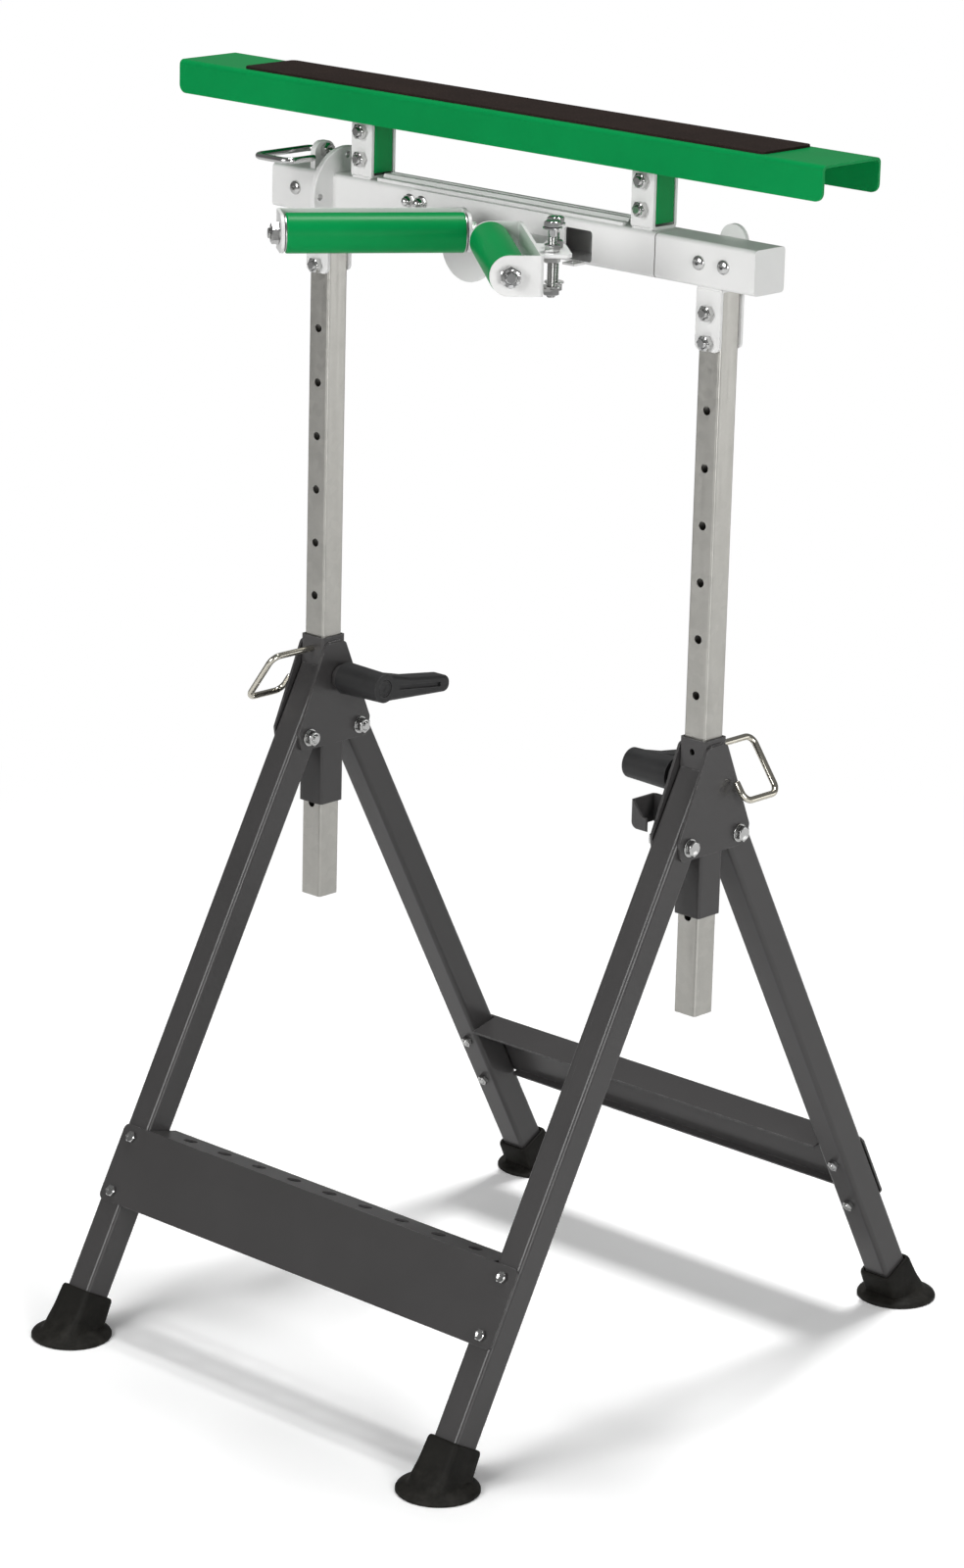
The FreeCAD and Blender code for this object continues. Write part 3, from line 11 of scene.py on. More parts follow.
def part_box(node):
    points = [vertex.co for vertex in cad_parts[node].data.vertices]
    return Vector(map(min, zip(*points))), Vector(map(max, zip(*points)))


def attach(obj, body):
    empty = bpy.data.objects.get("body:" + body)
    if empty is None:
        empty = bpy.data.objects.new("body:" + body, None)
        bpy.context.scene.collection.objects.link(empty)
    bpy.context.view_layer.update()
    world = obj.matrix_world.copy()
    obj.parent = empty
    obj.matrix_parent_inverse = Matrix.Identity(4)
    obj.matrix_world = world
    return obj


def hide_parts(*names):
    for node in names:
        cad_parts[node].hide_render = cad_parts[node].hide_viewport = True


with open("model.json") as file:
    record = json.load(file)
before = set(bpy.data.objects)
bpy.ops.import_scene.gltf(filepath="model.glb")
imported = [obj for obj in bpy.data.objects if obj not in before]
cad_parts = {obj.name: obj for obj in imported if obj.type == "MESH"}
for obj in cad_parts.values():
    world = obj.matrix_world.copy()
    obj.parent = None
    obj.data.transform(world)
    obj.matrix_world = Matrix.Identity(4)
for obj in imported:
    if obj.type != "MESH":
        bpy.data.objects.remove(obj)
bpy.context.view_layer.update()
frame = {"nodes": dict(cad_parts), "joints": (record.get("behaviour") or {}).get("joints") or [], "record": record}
NODES = frame["nodes"]

# The photograph's camera, fitted to the posts, legs and channel.
AZIMUTH, ELEVATION, ROLL = math.radians(42.73), math.radians(16.54), math.radians(1.44)
AIM = Vector((0.012, 0.0, 0.520))
SHIFT_RIGHT, SHIFT_UP, DISTANCE = 0.02023, -0.01021, 4.5069
LENS = 111.46
SENSOR = 36.0

WHITE = (1.0, 1.0, 1.0, 1.0)
FULL_TURN, QUARTER_TURN = 2.0 * math.pi, math.pi / 2.0


# Node building

def input_of(node, name):
    """A node's input: i0, i1 and so on are numbers, any other name is the label with _ for a space."""
    if name[0] == "i" and name[1:].isdigit():
        return node.inputs[int(name[1:])]
    return node.inputs[name.replace("_", " ")]


def add(tree, kind, settings=None, **inputs):
    """One node with its settings and input values; an input may be another node's socket."""
    node = tree.nodes.new(kind)
    for name, value in (settings or {}).items():
        setattr(node, name, value)
    for name, value in inputs.items():
        socket = input_of(node, name)
        if isinstance(value, bpy.types.NodeSocket):
            tree.links.new(value, socket)
        else:
            socket.default_value = value
    return node


def math_node(tree, operation, first, second=0.0):
    """The result socket of one arithmetic step."""
    return add(tree, "ShaderNodeMath", {"operation": operation}, i0=first, i1=second).outputs[0]


def blend(tree, factor, first, second):
    """The colour between two colours."""
    mix = add(tree, "ShaderNodeMix", {"data_type": "RGBA"}, i0=factor, i6=first, i7=second)
    return mix.outputs[2]


def span(tree, value, low, high, start=0.0, end=1.0):
    """A value carried from one range to another and kept inside it."""
    node = add(tree, "ShaderNodeMapRange", {"clamp": True}, i0=value, i1=low, i2=high, i3=start, i4=end)
    return node.outputs[0]


def noise(tree, vector, scale, detail, roughness):
    """The value of a noise texture."""
    node = add(tree, "ShaderNodeTexNoise", Vector=vector, Scale=scale, Detail=detail, Roughness=roughness)
    return node.outputs["Fac"]


def object_place(tree):
    """The place on the object, in metres in its own frame."""
    return add(tree, "ShaderNodeTexCoord").outputs["Object"]


def opaque(colour):
    """A colour with alpha."""
    return tuple(colour) + (1.0,)


def shades(colour, darker, lighter):
    """A darker and a lighter neighbour of a colour, with alpha."""
    return [opaque(min(1.0, part * step) for part in colour) for step in (darker, lighter)]


# Effects shared by several finishes

def effect(name, inputs, outputs):
    """An empty shader node group with named number inputs and outputs."""
    tree = bpy.data.node_groups.new(name, "ShaderNodeTree")
    for label, default in inputs:
        socket = tree.interface.new_socket(name=label, in_out="INPUT", socket_type="NodeSocketFloat")
        socket.default_value = default
    for label in outputs:
        tree.interface.new_socket(name=label, in_out="OUTPUT", socket_type="NodeSocketFloat")
    return tree, tree.nodes.new("NodeGroupInput"), tree.nodes.new("NodeGroupOutput")


def place(tree, group, **values):
    """A node group set into a material with its own values."""
    node = tree.nodes.new("ShaderNodeGroup")
    node.node_tree = group
    for name, value in values.items():
        input_of(node, name).default_value = value
    return node


def make_mottle():
    """Slow cloudy variation of a surface and the fine peel or grain of the surface itself."""
    inputs = (("Cloud Scale", 14.0), ("Peel Scale", 900.0))
    tree, given, result = effect("coat_mottle", inputs, ("Cloud", "Peel"))
    spot = object_place(tree)
    cloud = noise(tree, spot, given.outputs[0], detail=5.0, roughness=0.6)
    peel = noise(tree, spot, given.outputs[1], detail=2.0, roughness=0.5)
    tree.links.new(cloud, result.inputs["Cloud"])
    tree.links.new(peel, result.inputs["Peel"])
    return tree


def make_edge_wear():
    """Mask of worn edges: where the rounded normal leaves the true one, broken up by noise."""
    tree, given, result = effect("edge_wear", (("Width", 0.0015), ("Break Up", 160.0)), ("Mask",))
    spot = object_place(tree)
    bevel = add(tree, "ShaderNodeBevel", {"samples": 6}, Radius=given.outputs[0])
    normal = add(tree, "ShaderNodeNewGeometry").outputs["Normal"]
    agree = add(tree, "ShaderNodeVectorMath", {"operation": "DOT_PRODUCT"}, i0=bevel.outputs[0], i1=normal)
    edge = span(tree, agree.outputs["Value"], low=0.995, high=0.86)
    broken = span(tree, noise(tree, spot, given.outputs[1], detail=4.0, roughness=0.65), low=0.44, high=0.62)
    tree.links.new(math_node(tree, "MULTIPLY", edge, broken), result.inputs["Mask"])
    return tree


def make_floor_dust():
    """Mask of dust near the floor: strongest at the ground, fading with height and broken by noise."""
    tree, given, result = effect("floor_dust", (("Height", 0.05),), ("Mask",))
    spot = object_place(tree)
    height = add(tree, "ShaderNodeSeparateXYZ", Vector=spot).outputs["Z"]
    fade = span(tree, math_node(tree, "DIVIDE", height, given.outputs[0]), low=1.0, high=0.0)
    broken = span(tree, noise(tree, spot, 60.0, detail=6.0, roughness=0.7), low=0.4, high=0.7)
    tree.links.new(math_node(tree, "MULTIPLY", fade, broken), result.inputs["Mask"])
    return tree


MOTTLE, EDGE_WEAR, DUST = make_mottle(), make_edge_wear(), make_floor_dust()


# Finishes

COAT_SCALE, COAT_EDGE, COAT_BREAK, COAT_RELIEF = 11.0, 0.0012, 140.0, 0.0006
COAT_SMOOTHER, COAT_ROUGHER = 0.015, 0.02
PLATE_SCALE, MARK_SCALE, FLAKE_SCALE, PLATE_RELIEF = 30.0, 220.0, 150.0, 0.0003
PLATE_DARK_SHARE, MOST_TINT = 0.82, 0.5
MOULD_SCALE, MOULD_EDGE, MOULD_BREAK, MOULD_DUST, MOULD_RELIEF = 24.0, 0.0018, 70.0, 0.045, 0.0006
MOULD_SMOOTHER, MOULD_ROUGHER = 0.06, 0.08
MOULD_DARK_SHARE, MOULD_LIGHT_SHARE, RUBBED_SHARE, GRAIN_STRENGTH = 0.85, 1.25, 0.45, 0.25


def finish_material(name, colour, surface):
    """A material whose Principled shader gets its colour, roughness and bump from the surface function."""
    material = bpy.data.materials.new(name)
    material.use_nodes = True
    tree = material.node_tree
    tree.nodes.clear()
    shader = tree.nodes.new("ShaderNodeBsdfPrincipled")
    output = tree.nodes.new("ShaderNodeOutputMaterial")
    tree.links.new(shader.outputs[0], output.inputs[0])
    material.diffuse_color = opaque(colour)
    surface(tree, shader, colour)
    return material


def bump(tree, shader, height, strength, distance):
    """The surface's small relief, as a bump on the shader's normal."""
    node = add(tree, "ShaderNodeBump", Height=height, Strength=strength, Distance=distance)
    tree.links.new(node.outputs[0], shader.inputs["Normal"])


def coated(peel, rough, wear, under, sheen, cloud=0.06, relief=0.12):
    """Sprayed coat: cloudy colour, orange peel, and the bare colour under it showing at worn edges."""
    def surface(tree, shader, colour):
        dark, light = shades(colour, 1.0 - cloud, 1.0 + cloud)
        mottle = place(tree, MOTTLE, Cloud_Scale=COAT_SCALE, Peel_Scale=peel)
        edge = place(tree, EDGE_WEAR, Width=COAT_EDGE, Break_Up=COAT_BREAK).outputs[0]
        drift = mottle.outputs["Cloud"]
        base = blend(tree, span(tree, drift, low=0.3, high=0.7), dark, light)
        worn = math_node(tree, "MULTIPLY", edge, wear)
        ends = (rough - COAT_SMOOTHER, rough + COAT_ROUGHER)
        gloss = span(tree, drift, low=0.25, high=0.75, start=ends[0], end=ends[1])
        tree.links.new(blend(tree, worn, base, opaque(under)), shader.inputs["Base Color"])
        tree.links.new(gloss, shader.inputs["Roughness"])
        shader.inputs["Specular IOR Level"].default_value = sheen
        bump(tree, shader, mottle.outputs["Peel"], relief, COAT_RELIEF)
    return surface


def plated(streak, rough, tint, spangle=0.0, relief=0.10):
    """Plated steel: marks stretched by the streak, a cloudy plate, and spangle where it was hot dipped."""
    def surface(tree, shader, colour):
        spot = object_place(tree)
        drawn = add(tree, "ShaderNodeMapping", Vector=spot, Scale=streak).outputs[0]
        marks = noise(tree, drawn, MARK_SCALE, detail=4.0, roughness=0.6)
        drift = place(tree, MOTTLE, Cloud_Scale=PLATE_SCALE).outputs["Cloud"]
        flakes = add(tree, "ShaderNodeTexVoronoi", Vector=spot, Scale=FLAKE_SCALE)
        grey = add(tree, "ShaderNodeRGBToBW", Color=flakes.outputs["Color"]).outputs[0]
        spangled = math_node(tree, "MULTIPLY", grey, spangle)
        mixed = math_node(tree, "ADD", spangled, math_node(tree, "MULTIPLY", drift, 1.0 - spangle))
        dark = opaque(part * PLATE_DARK_SHARE for part in colour)
        base = blend(tree, span(tree, mixed, low=0.2, high=0.8), dark, opaque(colour))
        cast = span(tree, drift, low=0.45, high=0.75, end=MOST_TINT)
        worked = math_node(tree, "ADD", marks, spangled)
        gloss = span(tree, worked, low=0.3, high=1.1, start=rough[0], end=rough[1])
        tree.links.new(blend(tree, cast, base, opaque(tint)), shader.inputs["Base Color"])
        tree.links.new(gloss, shader.inputs["Roughness"])
        shader.inputs["Metallic"].default_value = 1.0
        bump(tree, shader, marks, relief, PLATE_RELIEF)
    return surface


def moulded(grain, rough, pale, sheen=0.25, speckle=0.0):
    """Moulded rubber or plastic: pebble grain, paler rubbed edges, dust low down, paler specks if asked."""
    def surface(tree, shader, colour):
        mottle = place(tree, MOTTLE, Cloud_Scale=MOULD_SCALE, Peel_Scale=grain)
        edge = place(tree, EDGE_WEAR, Width=MOULD_EDGE, Break_Up=MOULD_BREAK).outputs[0]
        dust = place(tree, DUST, Height=MOULD_DUST).outputs[0]
        drift, pebble = mottle.outputs["Cloud"], mottle.outputs["Peel"]
        dark, light = shades(colour, MOULD_DARK_SHARE, MOULD_LIGHT_SHARE)
        base = blend(tree, span(tree, drift, low=0.3, high=0.7), dark, light)
        specks = math_node(tree, "MULTIPLY", span(tree, pebble, low=0.56, high=0.68), speckle)
        touched = math_node(tree, "MAXIMUM", edge, math_node(tree, "MAXIMUM", dust, specks))
        rubbed = math_node(tree, "MULTIPLY", touched, RUBBED_SHARE)
        ends = (rough - MOULD_SMOOTHER, rough + MOULD_ROUGHER)
        gloss = span(tree, drift, low=0.25, high=0.75, start=ends[0], end=ends[1])
        tree.links.new(blend(tree, rubbed, base, opaque(pale)), shader.inputs["Base Color"])
        tree.links.new(gloss, shader.inputs["Roughness"])
        shader.inputs["Specular IOR Level"].default_value = sheen
        bump(tree, shader, pebble, GRAIN_STRENGTH, MOULD_RELIEF)
    return surface


# No finish's roughness crosses 0.27, because the denoiser draws thin lines where it does.
FINE_MARKS, BROAD_MARKS, BROADEST_MARKS = (1.0,) * 3, (0.12,) * 3, (0.05,) * 3
UPRIGHT_MARKS = (1.0, 1.0, 0.03)
MATERIALS = {
    "green_paint": finish_material("green_enamel", (0.001, 0.245, 0.060), coated(
        peel=700.0, rough=0.34, wear=0.22, under=(0.16, 0.42, 0.26), sheen=0.09)),
    "white_paint": finish_material("white_powder_coat", (0.72, 0.72, 0.712), coated(
        peel=900.0, rough=0.42, wear=0.35, under=(0.42, 0.42, 0.41), sheen=0.4, cloud=0.03)),
    "dark_paint": finish_material("dark_grey_powder_coat", (0.050, 0.048, 0.048), coated(
        peel=1100.0, rough=0.30, wear=0.50, under=(0.22, 0.22, 0.22), sheen=0.45, cloud=0.05, relief=0.05)),
    "zinc_steel": finish_material("bright_zinc", (0.66, 0.66, 0.65), plated(
        BROAD_MARKS, rough=(0.12, 0.26), tint=(0.58, 0.59, 0.61), relief=0.03)),
    "galvanised_steel": finish_material("galvanised_tube", (0.56, 0.55, 0.515), plated(
        UPRIGHT_MARKS, rough=(0.285, 0.46), tint=(0.36, 0.355, 0.33), spangle=0.35, relief=0.04)),
    "plated_wire": finish_material("drawn_zinc_wire", (0.74, 0.71, 0.62), plated(
        BROADEST_MARKS, rough=(0.16, 0.26), tint=(0.66, 0.61, 0.48), relief=0.02)),
    "black_rubber": finish_material("moulded_rubber", (0.0075, 0.0070, 0.0056), moulded(
        grain=1300.0, rough=0.60, pale=(0.050, 0.047, 0.041), sheen=0.17)),
    "black_plastic": finish_material("moulded_lever", (0.016, 0.016, 0.0165), moulded(
        grain=1800.0, rough=0.42, pale=(0.09, 0.09, 0.09), sheen=0.4)),
    "bearing_steel": finish_material("turned_steel", (0.60, 0.60, 0.60), plated(
        FINE_MARKS, rough=(0.29, 0.48), tint=(0.52, 0.52, 0.52))),
    "nylon": finish_material("natural_nylon", (0.72, 0.70, 0.63), moulded(
        grain=900.0, rough=0.50, pale=(0.80, 0.78, 0.72))),
}
PAD_RUBBER = finish_material("grained_pad_rubber", (0.020, 0.0135, 0.0115), moulded(
    grain=700.0, rough=0.70, pale=(0.060, 0.043, 0.037), sheen=0.05, speckle=0.9))
BRIGHT_WIRE = finish_material("bright_zinc_wire", (0.64, 0.64, 0.63), plated(
    BROADEST_MARKS, rough=(0.10, 0.26), tint=(0.55, 0.56, 0.58), relief=0.02))

for piece in frame["record"]["subparts"]:
    for slot in NODES[piece["node"]].material_slots:
        slot.material = MATERIALS[piece["material_slot"]]


# Forms: each is an array of points in millimetres with its faces, four-sided ones and lids apart

MM = 0.001
RING, BOOT_RING = 36, 96
HALF_FLAT = math.pi / 6.0


def ring_faces(count, size, closed):
    """Faces between rings of equal size: the last joins the first if closed, else both ends get a lid."""
    ring, step = np.meshgrid(np.arange(count if closed else count - 1), np.arange(size), indexing="ij")
    after, beside = (ring + 1) % count, (step + 1) % size
    corners = [ring * size + step, ring * size + beside, after * size + beside, after * size + step]
    lids = np.stack([np.arange(size)[::-1], (count - 1) * size + np.arange(size)])
    return np.stack(corners, axis=-1).reshape(-1, 4), lids[:0] if closed else lids


def row(height, limit, across=0.0, depth=0.0, pitch=1.0):
    """One row of a ring form."""
    return (height, limit, across, depth, pitch)


def ring_form(rows, closed=False):
    """Rings along z. Each row is height, round limit, width across flats, thread depth and thread pitch. The
    radius is the limit, cut down to the hexagon where the row has flats, less a ridge that climbs one pitch
    in a turn where it has a thread."""
    height, limit, across, depth, pitch = np.array(rows, float).T[:, :, None]
    turn = np.linspace(0.0, FULL_TURN, RING, endpoint=False)[None, :]
    flat = across / 2.0 / np.cos(np.mod(turn, 2.0 * HALF_FLAT) - HALF_FLAT)
    radius = np.where(across > 0.0, np.minimum(flat, limit), limit)
    phase = np.mod(height / pitch - turn / FULL_TURN, 1.0)
    radius = radius - depth * np.abs(2.0 * phase - 1.0)
    level = np.broadcast_to(height, radius.shape)
    points = np.stack([radius * np.cos(turn), radius * np.sin(turn), level], axis=-1)
    return points.reshape(-1, 3), ring_faces(len(rows), RING, closed)


def settle(form, spot, direction):
    """A form moved so that its z runs along the direction from the spot."""
    points, faces = form
    turn = Vector((0.0, 0.0, 1.0)).rotation_difference(Vector(direction)).to_matrix()
    return points @ np.array(turn).T + np.array(spot, float), faces


def turned_about(forms, axis, degrees, origin):
    """Forms carried from a piece's own frame to the stand's frame."""
    turn = np.array(Matrix.Rotation(math.radians(degrees), 3, axis))
    return [(points @ turn.T + np.array(origin, float), faces) for points, faces in forms]


def make_piece(name, forms, body, slot, stands_for=(), material=None, sharp=35.0):
    """All forms joined into one object that rides on a body; edges over the sharp angle stay sharp."""
    points, faces, start = [], [], 0
    for form_points, (quads, lids) in forms:
        points.append(form_points)
        faces += (quads + start).tolist() + (lids + start).tolist()
        start += len(form_points)
    mesh = bpy.data.meshes.new(name)
    mesh.from_pydata((np.concatenate(points) * MM).tolist(), [], faces)
    mesh.shade_smooth()
    mesh.set_sharp_from_angle(angle=math.radians(sharp))
    mesh.materials.append(material or MATERIALS[slot])
    piece = bpy.data.objects.new(name, mesh)
    bpy.context.collection.objects.link(piece)
    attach(piece, body)
    if stands_for:
        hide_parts(*stands_for)


# Bolts, nuts and washers

Kind = collections.namedtuple("Kind", "shank across head nut pitch")
COMMON = Kind(shank=8.0, across=13.0, head=5.3, nut=6.5, pitch=1.25)
SMALL = Kind(shank=6.0, across=10.0, head=4.0, nut=5.0, pitch=1.0)
AXLE = Kind(shank=10.0, across=17.0, head=6.4, nut=8.0, pitch=1.5)
# The index pin's guide nut has no bolt.
GUIDE = Kind(shank=6.0, across=13.0, head=0.0, nut=7.0, pitch=0.0)
WASHER_BORE, WASHER_RADIUS, WASHER_THICK, WASHER_SOFT = 4.05, 8.5, 1.6, 0.3
THREAD_STEPS, THREAD_SHARE, THREAD_PAST_NUT = 8.0, 0.55, 4.0
THREAD_STOP_SHARE, END_BEVEL_SHARE, END_ROUND_SHARE, END_TIP_SHARE = 0.6, 0.5, 0.4, 1.2
DISH, DISH_SHARE, TOP_SHARE, SEAT_RISE, SEAT_SHARE = 0.35, 0.28, 0.36, 0.4, 0.47
BEVEL_SHARE, BEVEL_RISE_SHARE, CORNER_SHARE = 0.46, 0.06, 0.6
BORE_CLEAR, COUNTERSINK = 0.05, 0.5


def shank_rows(radius, length, thread, pitch):
    """Rows of a shank: plain from the head's seat, then a thread, then a bevelled end."""
    depth = THREAD_SHARE * pitch
    first, last = max(0.0, length - thread), length - pitch * THREAD_STOP_SHARE
    heights = np.arange(first, last, pitch / THREAD_STEPS)
    turns = [row(height, radius, 0.0, depth, pitch) for height in heights]
    end = [row(length - pitch * END_BEVEL_SHARE, radius - depth * END_ROUND_SHARE),
           row(length, radius - depth * END_TIP_SHARE)]
    return [row(0.0, radius)] + turns + end


def hex_bolt(kind, length, thread):
    """Hexagon bolt: dished top, bevelled corners, shank with a thread at its end. The head is below z = 0."""
    across, head, corner = kind.across, kind.head, kind.across * CORNER_SHARE
    rows = [row(-head + DISH, across * DISH_SHARE), row(-head, across * TOP_SHARE),
            row(-head, across * BEVEL_SHARE, across), row(-head + across * BEVEL_RISE_SHARE, corner, across),
            row(-SEAT_RISE, corner, across), row(0.0, across * SEAT_SHARE)]
    return ring_form(rows + shank_rows(kind.shank / 2.0, length, thread, kind.pitch))


def hex_nut(kind):
    """Hexagon nut: both faces bevelled, with a countersunk bore."""
    across, height, corner = kind.across, kind.nut, kind.across * CORNER_SHARE
    bore = kind.shank / 2.0 + BORE_CLEAR
    bevel = across * BEVEL_RISE_SHARE
    mouth = bore + COUNTERSINK
    return ring_form([row(0.0, mouth), row(0.0, across * BEVEL_SHARE, across), row(bevel, corner, across),
                      row(height - bevel, corner, across), row(height, across * BEVEL_SHARE, across),
                      row(height, mouth), row(height - COUNTERSINK, bore), row(COUNTERSINK, bore)],
                     closed=True)


def washer():
    """Flat washer with softened rims."""
    rim = WASHER_RADIUS - WASHER_SOFT
    return ring_form([row(0.0, WASHER_BORE), row(0.0, rim), row(WASHER_SOFT, WASHER_RADIUS),
                      row(WASHER_THICK - WASHER_SOFT, WASHER_RADIUS), row(WASHER_THICK, rim),
                      row(WASHER_THICK, WASHER_BORE)], closed=True)


def bolted(spot, direction, kind, grip, tail, washers=False):
    """A bolt through a grip with its nut and, if asked, a washer under both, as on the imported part."""
    way = np.array(direction, float)
    spot = np.array(spot, float)
    forms = []
    seat, back = spot, spot + way * grip
    if washers:
        seat = spot - way * WASHER_THICK
        forms = [settle(washer(), seat, way), settle(washer(), back, way)]
        back = back + way * WASHER_THICK
        grip = grip + WASHER_THICK * 2.0
    bolt = hex_bolt(kind, grip + kind.nut + tail, kind.nut + tail + THREAD_PAST_NUT)
    forms.append(settle(bolt, seat, way))
    forms.append(settle(hex_nut(kind), back, way))
    return forms


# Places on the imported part, in millimetres, from the frame where it has them

JOINTS = {joint["name"]: joint for joint in frame["joints"]}
LOW, HIGH = 0, 1
X, Y, Z = 0, 1, 2


def box_of(node):
    """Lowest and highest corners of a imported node, to a thousandth."""
    return [np.round(np.array(corner) / MM, 3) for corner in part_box(node)]


def middle_of(node):
    """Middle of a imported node's box."""
    low, high = box_of(node)
    return (low + high) / 2.0


def anchor_of(joint):
    """Place of a joint, to a thousandth."""
    return np.round(np.array(JOINTS[joint]["pos_m"]) / MM, 3)


def axle_angle(joint):
    """Angle from x to a level joint axis, in degrees to a millionth."""
    axis = JOINTS[joint]["axis"]
    return round(math.degrees(math.atan2(axis[Y], axis[X])), 6)


def bolt_heights(node):
    """Heights of the lowest and highest common bolts of a node, whose heads have flats above and below."""
    low, high = box_of(node)
    return low[Z] + COMMON.across / 2.0, high[Z] - COMMON.across / 2.0


INWARD = {"left": 1.0, "right": -1.0}
ENDS = {"front": 1.0, "rear": -1.0}
POSTS = {side: middle_of(f"{side}_post")[X] for side in INWARD}
UPRIGHTS = {side: middle_of(f"{side}_upright")[X] for side in INWARD}
AXIS_HEIGHT = anchor_of("head_turn")[Z]
PIVOT_OUT, PIVOT_HEIGHT = anchor_of("rear_leg_fold")[Y:]
PLATE_FACE = POSTS["left"] - box_of("left_outer_hinge_plate")[LOW][X]
BLOCK_HALF = box_of("left_end_block")[HIGH][Y]
BRACKET_FACE = box_of("left_post_bracket")[HIGH][Y]
INDEX_NUT_X, INDEX_HEIGHT = box_of("index_guide_nut")[LOW][X], middle_of("index_guide_nut")[Z]
LEG_TILT, RAIL_FACE, RAIL_BOLTS, RAIL_GRIP, RAIL_TAIL = 28.4, 17.0, (413.99, 467.99), 32.0, 0.5
BOLT_TAIL, AXLE_TAIL, EAR_FACE = 2.0, 2.5, 85.0
# Each adjuster's place along the right roller's axle and behind it.
ADJUSTERS = ((62.0, 38.0), (41.0, 43.0))
ADJUSTER_RISE, ADJUSTER_DROP, ADJUSTER_PLAIN, LOW_NUT_RISE = 38.7, 22.0, 8.0, 2.0
FLANGE_TOP, FLANGE_THICK = 17.5, 3.0
BUSH_BOLTS, BUSH_BOLT_RISE = (242.0, 270.0, -252.0), 1.0
CAP_NUTS, CAP_NUT_RISE, CAP_NUT_OUT = (-101.6, -86.9), 9.0, 4.5

forms = []
for side, post_x in POSTS.items():
    for way in (-1.0, 1.0):
        spot = (post_x - PLATE_FACE * INWARD[side], PIVOT_OUT * way, PIVOT_HEIGHT)
        forms += bolted(spot, (INWARD[side], 0, 0), COMMON, PLATE_FACE * 2.0, BOLT_TAIL, washers=True)
make_piece("pivot_bolts", forms, "base", "zinc_steel", ("leg_pivot_fasteners",))

for end, way in ENDS.items():
    spots = [(post_x, -RAIL_FACE * way, -height) for post_x in POSTS.values() for height in RAIL_BOLTS]
    forms = [form for spot in spots for form in bolted(spot, (0, way, 0), SMALL, RAIL_GRIP, RAIL_TAIL)]
    forms = turned_about(forms, "X", -LEG_TILT * way, (0.0, -PIVOT_OUT * way, PIVOT_HEIGHT))
    make_piece(f"{end}_rail_bolts", forms, f"{end}_legs", "zinc_steel", (f"{end}_rail_fasteners",))


def bracket_bolts(across, heights):
    """Common bolts from back to front through brackets at several places across and heights."""
    spots = [(x, BRACKET_FACE, height) for x in across for height in heights]
    return [form for spot in spots
            for form in bolted(spot, (0, -1, 0), COMMON, BRACKET_FACE * 2.0, BOLT_TAIL)]


forms = bracket_bolts(POSTS.values(), bolt_heights("post_bracket_fasteners"))
make_piece("post_bolts", forms, "carriage", "zinc_steel", ("post_bracket_fasteners",))
forms = bracket_bolts(UPRIGHTS.values(), bolt_heights("upright_fasteners"))
make_piece("upright_bolts", forms, "head", "zinc_steel", ("upright_fasteners",))


def beside_roller(forms, side):
    """Forms carried from a frame on a roller's axle, with x along it, to the stand's frame."""
    joint = f"{side}_roller_spin"
    return turned_about(forms, "Z", axle_angle(joint), anchor_of(joint))


forms = []
for side, way in INWARD.items():
    axle = bolted((EAR_FACE * way, 0, 0), (-way, 0, 0), AXLE, EAR_FACE * 2.0, AXLE_TAIL)
    forms += beside_roller(axle, side)
make_piece("axle_bolts", forms, "head", "zinc_steel", ("roller_axles",))

forms = []
for along, back in ADJUSTERS:
    low = LOW_NUT_RISE - ADJUSTER_DROP
    length = ADJUSTER_RISE + ADJUSTER_DROP
    screw = hex_bolt(COMMON, length, length - ADJUSTER_PLAIN)
    forms += [settle(screw, (along, back, ADJUSTER_RISE), (0, 0, -1)),
              settle(washer(), (along, back, ADJUSTER_RISE), (0, 0, -1)),
              settle(hex_nut(COMMON), (along, back, FLANGE_TOP), (0, 0, 1)),
              settle(hex_nut(COMMON), (along, back, FLANGE_TOP - FLANGE_THICK), (0, 0, -1)),
              settle(hex_nut(COMMON), (along, back, low), (0, 0, 1)),
              settle(washer(), (along, back, low + COMMON.nut), (0, 0, 1))]
forms = beside_roller(forms, "right")
make_piece("adjuster_bolts", forms, "head", "zinc_steel", ("adjuster_fasteners",))

DOME_RADIUS, DOME_RIM, DOME_RISE = 6.5, 0.8, 2.8
DOME_STEPS = np.radians(np.linspace(18.0, 90.0, 8))
DOME_SHANK, DOME_SHANK_TIP, DOME_LENGTH, DOME_TIP = 3.0, 2.6, 5.0, 0.4
SOCKET, SOCKET_LIMIT, SOCKET_TOP, SOCKET_FLOOR = 3.4, 9.0, 3.45, 1.6


def dome_bolt():
    """Low domed head with a hexagon socket: a quarter ellipse turned round the axis, cut to flats inside."""
    rows = [row(-DOME_LENGTH, DOME_SHANK_TIP), row(-DOME_LENGTH + DOME_TIP, DOME_SHANK),
            row(0.0, DOME_SHANK), row(0.0, DOME_RADIUS)]
    rows += [row(DOME_RIM + DOME_RISE * math.cos(angle), DOME_RADIUS * math.sin(angle))
             for angle in DOME_STEPS[::-1]]
    rows += [row(SOCKET_TOP, SOCKET_LIMIT, SOCKET), row(SOCKET_FLOOR, SOCKET_LIMIT, SOCKET)]
    return ring_form(rows)


height = AXIS_HEIGHT + BUSH_BOLT_RISE
forms = [settle(dome_bolt(), (x, -BLOCK_HALF, height), (0, -1, 0)) for x in BUSH_BOLTS]
make_piece("bush_dome_bolts", forms, "carriage", "zinc_steel", ("bush_bolts",))

CROWN_BASE, CROWN_RADIUS, CAP_ACROSS = 4.0, 4.6, 10.0
CROWN_STEPS = np.radians(np.linspace(8.0, 80.0, 9))
